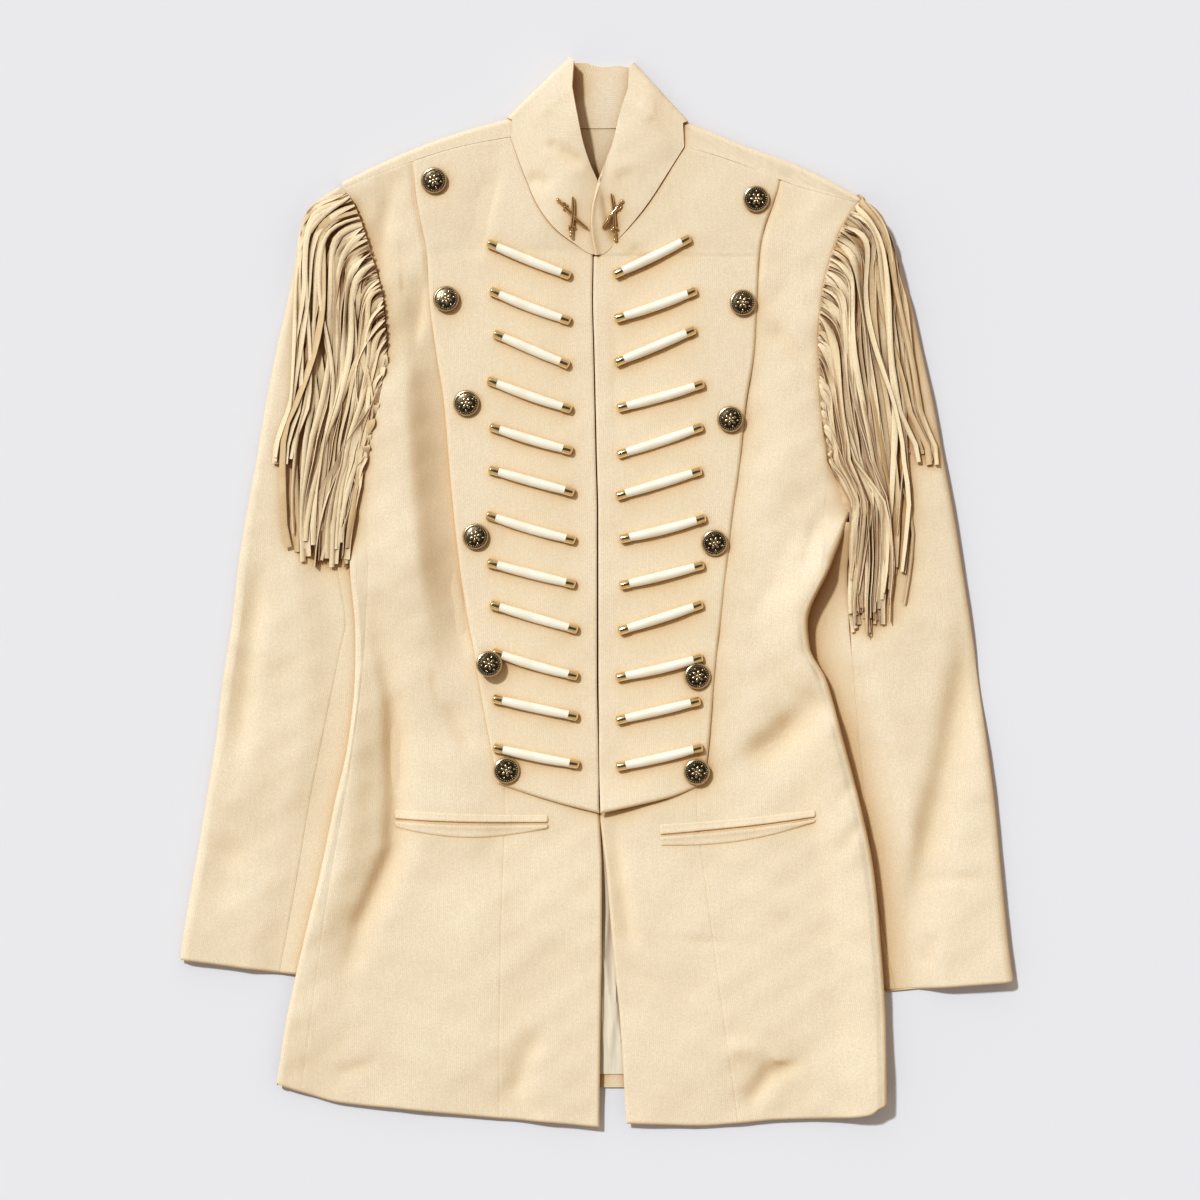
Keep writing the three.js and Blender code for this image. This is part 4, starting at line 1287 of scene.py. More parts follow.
@dataclass
class Sleeves:
    """Both sleeves, each of an upper and an under piece."""

    finishes: Finishes
    step: float = 3.2
    seam: float = 0.08
    back_seam: float = 15.0
    fold_reach: float = 7.5

    def build(self) -> None:
        """Build both sleeves."""
        for half in (RIGHT, LEFT):
            self.sleeve(half)

    def sleeve(self, half: Half) -> None:
        """Build the upper and the under sleeve of a half."""
        top_y, low_y = half.sleeve_top[1], half.cuff[0][1]
        length = top_y - low_y
        y = top_y - stations(length, self.step) * length
        outer = np.stack([half.line("outer", y, [half.sleeve_top, half.cuff[0]]), y], axis=-1)
        y_seam = np.interp(y, [low_y, -230, top_y], [half.cuff[1][1], -230, half.shoulder[4][1]])
        arm = half.line("side", y_seam, [half.shoulder[4]])
        below = half.line("sleeve_seam", y_seam, [half.cuff[1]])
        seam = np.stack([np.where(y_seam > half.armpit, arm, below), y_seam], axis=-1)
        joint = smooth(half.armpit - 6, half.armpit + 12, y_seam)
        seam[:, 0] = below * (1 - joint) + arm * joint
        y_inner = np.interp(y, [low_y, -230, top_y], [half.cuff[2][1], -230, half.shoulder[4][1]])
        inner = np.stack([half.line("inner", y_inner, [half.cuff[2]]), y_inner], axis=-1)
        self.upper(half, outer, seam)
        self.under(half, outer, seam, inner)

    def upper(self, half: Half, outer: Array, seam: Array) -> Object:
        """Upper sleeve, from its seam out and round the outer edge."""
        start = seam + [half.out * self.seam, 0]
        run = outer - start
        width = np.linalg.norm(run, axis=1)
        reach = np.minimum(self.fold_reach, width * 0.6)
        flat_end = outer - run / width[:, None] * reach[:, None]
        share = stations(80, self.step)[:-4]
        share = share / share[-1]
        flat = start[:, None] * (1 - share[None, :, None]) + flat_end[:, None] * share[None, :, None]
        height = RELIEF.sleeves(half, flat[..., 0], flat[..., 1])
        ends = half.line("edge", np.array([half.armpit]))[0], half.line("side", np.array([107.0]))[0]
        tucked = half.out * (np.interp(flat[..., 1], [half.armpit, 107], ends) - flat[..., 0])
        height = height - 3.2 * smooth(-0.5, 2.5, tucked) * smooth(107, 98, flat[..., 1])
        high = height[:, -1]
        height = height - SEAM.at(share[None] * np.linalg.norm(flat_end - start, axis=1)[:, None])
        upper = np.concatenate([flat, height[..., None]], axis=-1)
        rounded = fold_round(start, outer, high, np.full(len(high), CLEAR), reach, 15)[:, 1:]
        back = np.minimum(self.back_seam, width * 0.72)
        ends = outer - [half.out, 0] * back[:, None]
        steps = np.array([0.35, 0.7, 1.0])
        under = rounded[:, -1:, :2] * (1 - steps[None, :, None]) + ends[:, None] * steps[None, :, None]
        under = at_height(under, CLEAR)
        grid = np.concatenate([upper, rounded, under], axis=1)
        top_columns = len(share) + 7
        down = column_lengths(grid)
        grid[:, :top_columns, 2] -= FREE.at(down[-1:] - down)[:, :top_columns]
        cloth = Cloth(self.finishes.wool, THIN)
        return cloth.lay_sheet(f"{half.name}_upper_sleeve", grid, half.out < 0)

    def under(self, half: Half, outer: Array, seam: Array, inner: Array) -> Object:
        """Under sleeve, flat below and then up round the inner edge to the seam."""
        width = np.abs(outer[:, 0] - seam[:, 0])
        start = outer - [half.out, 0] * (np.minimum(self.back_seam, width * 0.72) + self.seam)[:, None]
        turns = seam[:, 1] <= half.armpit - 6
        stop = np.where(turns[:, None], inner, seam + [half.out * self.seam, 0])
        reach = np.full(len(outer), 2.6)
        high = RELIEF.sleeves(half, inner[:, 0], inner[:, 1])
        rounded = fold_round(start, stop, high, np.full(len(high), CLEAR), reach, 9)[:, ::-1]
        share = np.linspace(0, 1, 12)[:-1]
        flat = start[:, None] * (1 - share[None, :, None]) + rounded[:, :1, :2] * share[None, :, None]
        flat = at_height(flat, CLEAR)
        up_share = np.array([0.25, 0.5, 0.75, 0.9, 1.0])
        last = rounded[:, -1:, :2]
        top = last * (1 - up_share[None, :, None]) + seam[:, None] * up_share[None, :, None]
        height = RELIEF.sleeves(half, top[..., 0], top[..., 1])
        height[:, -1] -= SEAM.drop
        height[:, -2] -= SEAM.drop * 0.2
        top = np.concatenate([top, height[..., None]], axis=-1)
        grid = np.concatenate([flat, rounded, top], axis=1)
        keep = np.ones(grid.shape[:2], bool)
        keep[~turns, len(share) + 1:] = False
        down = column_lengths(grid)
        grid[:, len(share) + 5:, 2] -= FREE.at(down[-1:] - down)[:, len(share) + 5:]
        cloth = Cloth(self.finishes.wool, THIN)
        return cloth.lay_sheet(f"{half.name}_under_sleeve", grid, half.out < 0, keep)


@dataclass
class Collar:
    """Standing collar, laid open at the top and lapped at the front."""

    finishes: Finishes
    thickness: float = 2.6
    right_top: tuple[tuple[float, float, float], ...] = (
        (2.5, 331, 9.6), (-1, 339, 12.0), (-5, 348, 15.0), (-11, 366, 19.5), (-16, 390, 22.0), (-20, 412, 20.0))
    right_end: tuple[float, float, float] = (1.5, 276.5, 8.2)
    right_fold: tuple[float, float] = (-22, 437)
    back_top: tuple[Place, ...] = ((-9, 434.5), (4, 431), (18, 432))
    left_fold: tuple[float, float] = (30, 433)
    left_top: tuple[tuple[float, float, float], ...] = (
        (25.5, 412, 9.0), (19, 392, 8.2), (13, 367, 8.6), (8, 355, 10.0), (4.5, 345, 12.0), (2, 336, 13.2))
    left_end: tuple[float, float, float] = (-0.8, 276, 11.4)
    bow: float = 5.0
    folds: tuple[Fold, ...] = (
        Fold(((-46, 360), (-36, 364), (-24, 358), (-8, 346)), (5, 6), -3.2),
        Fold(((-46, 362), (-26, 360)), (5, 6), 1.2),
        Fold(((-58, 340), (-44, 336), (-36, 330)), (6, 6), -2.4),
        Fold(((3, 334), (8, 306), (16, 282)), (7, 3), -2.6),
        Fold(((14, 338), (34, 344)), (5, 7), -1.4),
        Fold(((36, 402), (46, 385)), (6, 7), 1.3),
        Fold(((54, 412), (63, 398)), (6, 6), -1.3),
        Fold(((66, 396), (72, 380)), (5, 5), 1.2),
        Fold(((30, 424), (52, 376), (56, 350)), (8, 12), 1.0),
        Fold(((-30, 420), (-44, 388)), (9, 9), 1.0),
        Fold(((26, 420), (18, 366), (12, 326)), (30, 8), 2.4),
    )

    def build(self) -> Object:
        """Build the collar as one band from the right front end to the left one."""
        low = 1.4
        neck = {}
        for half in (RIGHT, LEFT):
            points = [half.shoulder[0], *half.neck]
            end = self.right_end if half is RIGHT else self.left_end
            high = [float(RELIEF.bibs(half, np.array([x]), np.array([y]))[0]) for x, y in points]
            neck[half.name] = [(x * 1.002, y - 0.1, z - 0.4) for (x, y), z in zip(points, high)] + [end]
        right_neck = along(neck["right"][::-1], np.linspace(0, 1, 44))
        right_head = along(self.right_top, np.linspace(0, 1, 44))
        left_neck = along(neck["left"], np.linspace(0, 1, 44))
        left_head = along(self.left_top, np.linspace(0, 1, 44))
        corner = {}
        for half, fold, head_z in ((RIGHT, self.right_fold, 15.0), (LEFT, self.left_fold, 9.0)):
            foot = np.array([[half.fold[0][0] + half.out * 1.8, half.fold[0][1] - 0.8]])
            feet = fold_round(np.array([[0.0, 360.0]]), foot, np.array([8.9]), np.array([low]),
                              np.array([4.0]), 11)[0]
            begin = np.array([[-half.out * 20.0, 400.0]])
            heads = fold_round(begin, np.array([fold]), np.array([head_z]), np.array([low]),
                               np.array([4.5]), 11)[0]
            corner[half.name] = (feet, heads)
        back_feet = along([(x, y + 0.6, low) for x, y in NECK_BACK], np.linspace(0, 1, 26))
        back_heads = along([(x, y, low) for x, y in self.back_top], np.linspace(0, 1, 26))
        feet = np.concatenate([right_neck, corner["right"][0], back_feet, corner["left"][0][::-1], left_neck])
        heads = np.concatenate([right_head, corner["right"][1], back_heads, corner["left"][1][::-1], left_head])
        steps = stations(75, 2.6)
        grid = feet[:, None] * (1 - steps[None, :, None]) + heads[:, None] * steps[None, :, None]
        count = len(feet)
        from_end = np.minimum(np.arange(count), count - 1 - np.arange(count))
        grid[..., 0] -= self.bow * np.sin(math.pi * steps)[None] * np.clip(1 - from_end / 22, 0, 1)[:, None]
        face = from_end < 50
        folds = sum(fold.at(grid[..., 0], grid[..., 1]) for fold in self.folds)
        grid[..., 2] += np.where(face[:, None], folds + RELIEF.uneven(grid[..., 0], grid[..., 1]) * 0.8, 0)
        bulge = np.sin(math.pi * steps)[None] * 1.6 * face[:, None]
        grid[..., 2] += bulge
        return Cloth(self.finishes.wool, self.thickness, 0.0).lay_sheet("collar", grid, True)


@dataclass
class Bibs:
    """Plastron halves on the fronts, with their turned edges."""

    finishes: Finishes
    step: float = 3.0
    seam: float = 0.2
    thickness: float = 1.9
    edge: Edge = Edge(3.0, 1.7)
    centre_edge: Edge = Edge(2.2, 0.9)

    def build(self) -> None:
        """Build both halves."""
        for half in (RIGHT, LEFT):
            self.bib(half)

    def bib(self, half: Half) -> Object:
        """Build one half, from the shoulder to the waist."""
        top_y, corner_y = half.shoulder[0][1], half.bib_shoulder[1]
        low, side_low = half.bib_hem[0][1], half.bib_hem[-1][1]
        length = top_y - low
        y = top_y - stations(length, self.step) * length
        y_side = np.interp(y, [low, -120, 298, top_y], [side_low, -120, 298, corner_y])
        inset = half.out * self.seam
        middle = half.centre(y) + inset
        lapped = np.where(y < 277, np.minimum(middle, RIGHT.centre(y) + 0.9), middle)
        left = np.stack([lapped if half is LEFT else middle, y], axis=-1)
        right = np.stack([half.line("bib", y_side, [half.bib_shoulder, half.bib_hem[-1]]), y_side], axis=-1)
        share = stations(110, self.step)
        top = along([*half.shoulder[:3], half.bib_shoulder], share)
        plane = spread(left, right, top, along(half.bib_hem, share))
        plane[0, :, 1] -= self.seam
        grid = with_height(plane, lambda a, b: RELIEF.bibs(half, a, b))
        grid = lowered(grid, self.centre_edge, self.edge, SEAM, self.edge)
        cloth = Cloth(self.finishes.wool, self.thickness)
        return cloth.lay_sheet(f"{half.name}_bib", grid, half.out < 0)


def edit(piece: Object, mode: str) -> None:
    """Enter edit mode on a piece with nothing selected, in one select mode."""
    select_only(piece)
    bpy.ops.object.mode_set(mode="EDIT")
    bpy.ops.mesh.select_mode(type=mode)
    bpy.ops.mesh.select_all(action="DESELECT")


def select_faces(piece: Object, test: Callable[[Vector, Vector], bool]) -> None:
    """Select faces of a piece by their centre and normal, and enter edit mode."""
    edit(piece, "FACE")
    bpy.ops.object.mode_set(mode="OBJECT")
    for face in piece.data.polygons:
        face.select = test(face.center, face.normal)
    bpy.ops.object.mode_set(mode="EDIT")


def finish_edit() -> None:
    """Leave edit mode."""
    bpy.ops.object.mode_set(mode="OBJECT")


def inset_rings(*rings: Place) -> None:
    """Inset the selected faces in turn, each ring by a width and a rise in mm, and leave edit mode."""
    for width, rise in rings:
        bpy.ops.mesh.inset(thickness=width * MM, depth=rise * MM)
    finish_edit()


def apply_place(piece: Object) -> None:
    """Put a piece's place, turn and scale into its mesh."""
    select_only(piece)
    bpy.ops.object.transform_apply(location=True, rotation=True, scale=True)


def join(pieces: list[Object], name: str) -> Object:
    """Join pieces into the first one and name it."""
    deselect()
    for piece in pieces:
        piece.select_set(True)
    bpy.context.view_layer.objects.active = pieces[0]
    if len(pieces) > 1:
        bpy.ops.object.join()
    pieces[0].name = name
    pieces[0].data.name = name
    return pieces[0]


def placed_copy(model: Object, name: str, matrix: Matrix) -> Object:
    """Copy a model with a mesh of its own, moved by a matrix."""
    mesh = model.data.copy()
    mesh.transform(matrix)
    mesh.name = name
    piece = bpy.data.objects.new(name, mesh)
    bpy.context.scene.collection.objects.link(piece)
    return piece


def discard(piece: Object) -> None:
    """Remove a model whose copies are placed."""
    bpy.data.objects.remove(piece, do_unlink=True)


def mark(piece: Object, name: str, values: Array) -> None:
    """Store a number at each point of a piece's mesh."""
    layer = piece.data.attributes.new(name, "FLOAT", "POINT")
    layer.data.foreach_set("value", np.asarray(values, np.float32))


def points_of(piece: Object) -> Array:
    """Points of a piece's mesh, in metres."""
    flat = np.empty(3 * len(piece.data.vertices))
    piece.data.vertices.foreach_get("co", flat)
    return flat.reshape(-1, 3)


@dataclass
class Buttons:
    """Domed shank buttons with a beaded rim and a rosette."""

    finishes: Finishes
    radius: float = 10.6
    rest: float = 8.2
    on_cloth: float = 0.4
    on_pipe: float = 6.2
    beads: int = 30
    petals: int = 6
    places: dict[str, tuple[tuple[float, float, float, float], ...]] = field(default_factory=lambda: {
        "right": ((-133, 337, 5, 200), (-123, 240, 7, 120), (-106.5, 155, 5, 160), (-99, 46, 6, 140),
                  (-88, -58, 5, 60), (-74, -145, 4, 20)),
        "left": ((130, 322, 3, 300), (119, 237, 4, 80), (109, 142, 3, 180), (96, 41, 3, 250),
                 (82, -68, 4, 40), (81.5, -146, 3, 300)),
    })

    def model(self) -> Object:
        """Model one button on the origin, its back at height 0."""
        deselect()
        bpy.ops.mesh.primitive_cylinder_add(vertices=48, radius=self.radius * MM, depth=1.6 * MM,
                                            location=(0, 0, 2.8 * MM))
        disc = bpy.context.object
        apply_place(disc)
        select_faces(disc, lambda centre, normal: normal.z > 0.9)
        inset_rings((0.5, 0.5), (0.9, 0.2), (0.5, -0.75), (0.6, 0.0), (0.9, 0.2), (1.6, 0.28), (2.2, 0.25),
                    (1.9, 0.1))
        select_faces(disc, lambda centre, normal: normal.z < -0.9)
        inset_rings((1.2, 0.3), (6.8, 0.3), (0.05, 2.2))
        parts = [disc]
        parts += self.ring(self.beads, self.radius - 2.35, 0.6, 3.75)
        parts += self.rosette()
        button = join(parts, "button")
        dress(button, self.finishes.antique)
        points = points_of(button) / MM
        away = np.hypot(points[:, 0], points[:, 1])
        dome = 3.55 + 0.85 * (1 - (away / 8.2) ** 2)
        hollow = smooth(0.6, 0.15, points[:, 2] - dome) * (away < 8.9)
        mark(button, "hollow", np.clip(hollow, 0, 1))
        return button

    def ring(self, count: int, distance: float, size: float, height: float) -> list[Object]:
        """Model a ring of small beads.

        Args:
            count: number of beads.
            distance: how far each lies from the middle.
            size: radius of a bead.
            height: height of its centre.

        Returns:
            The beads.
        """
        beads = []
        bpy.ops.mesh.primitive_ico_sphere_add(subdivisions=1, radius=size * MM)
        bead = bpy.context.object
        for k in range(count):
            turn = 2 * math.pi * k / count
            place = Vector((math.cos(turn) * distance, math.sin(turn) * distance, height)) * MM
            beads.append(placed_copy(bead, "bead", Matrix.Translation(place)))
        discard(bead)
        return beads

    def rosette(self) -> list[Object]:
        """Model the rosette: petals round a boss, and small leaves between them."""
        parts = []
        bpy.ops.mesh.primitive_uv_sphere_add(segments=10, ring_count=6, radius=MM)
        ball = bpy.context.object
        for k in range(self.petals):
            turn = 2 * math.pi * k / self.petals
            for distance, long, wide, height in ((3.3, 2.2, 1.2, 4.15), (6.3, 1.1, 0.8, 3.95)):
                angle = turn + (math.pi / self.petals if distance > 6 else 0)
                matrix = (
                    Matrix.Rotation(angle, 4, "Z")
                    @ Matrix.Translation(Vector((distance, 0, height)) * MM)
                    @ Matrix.Rotation(0.12, 4, "Y")
                    @ Matrix.Diagonal((long, wide, 0.75, 1))
                )
                parts.append(placed_copy(ball, "petal", matrix))
        centre = Matrix.Translation(Vector((0, 0, 4.5)) * MM)
        parts.append(placed_copy(ball, "boss", centre @ Matrix.Diagonal((1.5, 1.5, 0.9, 1))))
        discard(ball)
        return parts

    def build(self) -> None:
        """Place a button at each place, tilted a little."""
        model = self.model()
        for side, places in self.places.items():
            for k, (x, y, tilt, turn) in enumerate(places):
                high = side == "right" and k == 4
                lean = Matrix.Rotation(math.radians(turn), 4, "Z") @ Matrix.Rotation(math.radians(tilt), 4, "Y")
                spin = Matrix.Rotation(0.7 * k, 4, "Z")
                place = Vector((x, y, self.rest + (self.on_pipe if high else self.on_cloth))) * MM
                name = f"{side}_button_{k + 1}"
                piece = placed_copy(model, name, Matrix.Translation(place) @ lean @ spin)
                declare(piece, Slot.METAL, name)
        discard(model)


@dataclass
class Pipes:
    """Bone hair pipes across the bib, with a metal cap on each end."""

    finishes: Finishes
    rest: float = 7.9
    reference: float = 74.0
    middle: float = 3.9
    cap: float = 3.75
    cap_length: float = 7.6
    bow: float = 1.3
    places: dict[str, tuple[tuple[Place, Place], ...]] = field(default_factory=lambda: {
        "right": (
            ((-89, 286), (-22, 259)), ((-87, 247), (-22, 222)), ((-84, 212), (-23, 186)), ((-89, 174), (-21, 150)),
            ((-87, 136), (-20.5, 116)), ((-88, 101), (-19, 82)), ((-90, 64), (-18, 43)), ((-89, 25), (-18, 7)),
            ((-87, -9), (-16, -30)), ((-85, -48), (-16, -68)), ((-85, -86), (-16, -101)),
            ((-84.5, -126), (-15, -140))),
        "left": (
            ((76, 290), (14, 260)), ((81, 247), (15, 224)), ((80, 215), (15, 188)), ((87, 171), (17, 151)),
            ((86, 136), (17, 113)), ((85, 100), (16, 79)), ((88.5, 61.5), (19, 44)), ((87, 23), (19, 6)),
            ((86, -9), (18, -31)), ((86, -52.5), (16, -69)), ((84, -88), (16, -104)), ((86, -126), (16, -142))),
    })

    def model(self) -> tuple[Object, Object]:
        """Model a pipe and its caps along X, centred on the origin."""
        half = self.reference / 2
        bpy.ops.mesh.primitive_cylinder_add(vertices=24, radius=self.middle * MM, depth=2 * MM,
                                            rotation=(0, math.pi / 2, 0))
        tube = bpy.context.object
        apply_place(tube)
        for sign in (1, -1):
            select_faces(tube, lambda centre, normal, sign=sign: normal.x * sign > 0.9)
            stops = np.linspace(1, half - self.cap_length + 2, 7)
            for k in range(1, len(stops)):
                move = (sign * (stops[k] - stops[k - 1]) * MM, 0, 0)
                bpy.ops.mesh.extrude_region_move(TRANSFORM_OT_translate={"value": move})
                share = (1.0, 0.998, 0.99, 0.98, 0.96, 0.95, 1.0)[k]
                bpy.ops.transform.resize(value=(1, share, share))
            finish_edit()
        caps = []
        for sign in (1, -1):
            deselect()
            bpy.ops.mesh.primitive_cylinder_add(vertices=24, radius=self.cap * MM, depth=self.cap_length * MM * 0.86,
                                                location=(sign * (half - self.cap_length * 0.57) * MM, 0, 0),
                                                rotation=(0, math.pi / 2, 0))
            cap = bpy.context.object
            apply_place(cap)
            select_faces(cap, lambda centre, normal, sign=sign: normal.x * sign > 0.9)
            inset_rings((0.25, 0.6), (0.6, 0.6), (1.0, 0.4))
            select_faces(cap, lambda centre, normal, sign=sign: normal.x * sign < -0.9)
            inset_rings((0.35, 0.15))
            caps.append(cap)
        return tube, join(caps, "caps")

    def stretched(self, model: Object, name: str, length: float, bow: float) -> Object:
        """Copy a model for another length, bowed sideways.

        Args:
            model: pipe or caps along X.
            name: name of the copy.
            length: its whole length.
            bow: how far its middle stands off the line through its ends.

        Returns:
            The copy, still on the origin.
        """
        piece = placed_copy(model, name, Matrix.Identity(4))
        points = points_of(piece) / MM
        extra = (length - self.reference) / 2
        points[:, 0] += extra * np.clip(points[:, 0] / (self.reference / 2 - self.cap_length), -1, 1)
        points[:, 1] += bow * (1 - (2 * points[:, 0] / length) ** 2)
        piece.data.vertices.foreach_set("co", (points * MM).reshape(-1))
        return piece

    def build(self) -> None:
        """Build every pipe, and the caps of each half as one piece."""
        tube, caps = self.model()
        dress(tube, self.finishes.bone)
        dress(caps, self.finishes.brass)
        self.grain(tube)
        for side, places in self.places.items():
            joined = []
            for k, (outer, inner) in enumerate(places):
                a, b = sorted((outer, inner))
                length = math.hypot(b[0] - a[0], b[1] - a[1])
                turn = Matrix.Rotation(math.atan2(b[1] - a[1], b[0] - a[0]), 4, "Z")
                middle = Vector(((a[0] + b[0]) / 2, (a[1] + b[1]) / 2, self.rest + self.cap)) * MM
                bow = -self.bow * (0.6 + 0.4 * math.sin(2.3 * k))
                name = f"{side}_pipe_{k + 1}"
                for model, label in ((tube, name), (caps, "cap")):
                    piece = self.stretched(model, label, length, bow)
                    piece.data.transform(Matrix.Translation(middle) @ turn)
                    if model is tube:
                        declare(piece, Slot.BONE, name)
                    else:
                        joined.append(piece)
            declare(join(joined, f"{side}_pipe_caps"), Slot.METAL)
        discard(tube)
        discard(caps)

    def grain(self, tube: Object) -> None:
        """Give the pipe a map that runs round it and along it."""
        points = points_of(tube)
        layer = tube.data.uv_layers.active or tube.data.uv_layers.new(name="cloth")
        layer.name = "cloth"
        for loop in tube.data.loops:
            x, y, z = points[loop.vertex_index]
            layer.data[loop.index].uv = (abs(math.atan2(y, z)) * self.middle * MM, x)


@dataclass
class Pins:
    """A pair of crossed sabres on each front of the collar."""

    finishes: Finishes
    width: float = 2.4
    clear: float = 1.1
    places: dict[str, tuple[tuple[Place, Place], ...]] = field(default_factory=lambda: {
        "right": (((-32.5, 321), (-6.5, 295.5)), ((-21, 290), (-19, 324.5))),
        "left": (((21, 320.5), (3.5, 296.5)), ((15, 287.5), (12, 328))),
    })

    def sabre(self, length: float) -> Object:
        """Model a sabre along X: blade, guard, grip and pommel.

        Args:
            length: its whole length.

        Returns:
            The sabre, its hilt at negative X.
        """
        deselect()
        grip = length * 0.26
        bpy.ops.mesh.primitive_cylinder_add(vertices=12, radius=self.width * 0.62 * MM, depth=1.2 * MM,
                                            location=((-length / 2 + grip) * MM, 0, 0), rotation=(0, math.pi / 2, 0))
        blade = bpy.context.object
        apply_place(blade)
        select_faces(blade, lambda centre, normal: normal.x > 0.9)
        run = length - grip
        for k in range(6):
            step = (run / 6.6 * MM, 0.16 * (k - 2) * MM, 0)
            bpy.ops.mesh.extrude_region_move(TRANSFORM_OT_translate={"value": step})
            bpy.ops.transform.resize(value=(1, 0.97 if k < 5 else 0.6, 0.95 if k < 5 else 0.7))
        finish_edit()
        parts = [blade]
        bpy.ops.mesh.primitive_uv_sphere_add(segments=12, ring_count=8, radius=MM)
        ball = bpy.context.object
        bumps = [(-length / 2 + 1.0, 0, 1.6, 1.6, 1.3), (-length / 2 + grip, 0, 0.9, 3.1, 1.5),
                 (-length / 2 + grip - 2.0, 1.9, 2.3, 0.8, 0.8)]
        bumps += [(-length / 2 + 2.4 + 1.25 * k, 0, 0.8, 1.25, 1.25) for k in range(5)]
        for x, y, a, b, c in bumps:
            place = Matrix.Translation(Vector((x, y, 0)) * MM) @ Matrix.Diagonal((a, b, c, 1))
            parts.append(placed_copy(ball, "bump", place))
        discard(ball)
        return join(parts, "sabre")

    def collar_height(self, x: float, y: float) -> float:
        """Height of the collar's upper face at a place."""
        _, place, _, _ = bpy.data.objects["collar_cloth"].ray_cast(Vector((x, y, 60)) * MM, Vector((0, 0, -1)))
        return place.z / MM

    def build(self) -> None:
        """Build both pairs."""
        for side, places in self.places.items():
            sabres = []
            for k, (hilt, tip) in enumerate(places):
                length = math.hypot(tip[0] - hilt[0], tip[1] - hilt[1])
                middle = ((hilt[0] + tip[0]) / 2, (hilt[1] + tip[1]) / 2)
                sabre = self.sabre(length)
                turn = Matrix.Rotation(math.atan2(tip[1] - hilt[1], tip[0] - hilt[0]), 4, "Z")
                ends = [self.collar_height(*place) for place in (hilt, tip)]
                tilt = Matrix.Rotation(-math.atan2(ends[1] - ends[0], length), 4, "Y")
                height = max(sum(ends) / 2, self.collar_height(*middle)) + self.clear + 0.9 * k
                sabre.data.transform(Matrix.Translation(Vector((*middle, height)) * MM) @ turn @ tilt)
                sabres.append(sabre)
            name = f"{side}_collar_pin"
            piece = join(sabres, name)
            dress(piece, self.finishes.steel)
            declare(piece, Slot.STEEL, name)


@dataclass(frozen=True)
class Hang:
    """How a fringe hangs: its outer side, its inner side below the armpit, and where its strands end.

    Each end gives a strand's place across the fringe, from 0 at the inner side to 1, and its height.
    """

    outer: tuple[Place, ...]
    inner: tuple[Place, ...]
    ends: tuple[Place, ...]
    flare: float
    seed: int


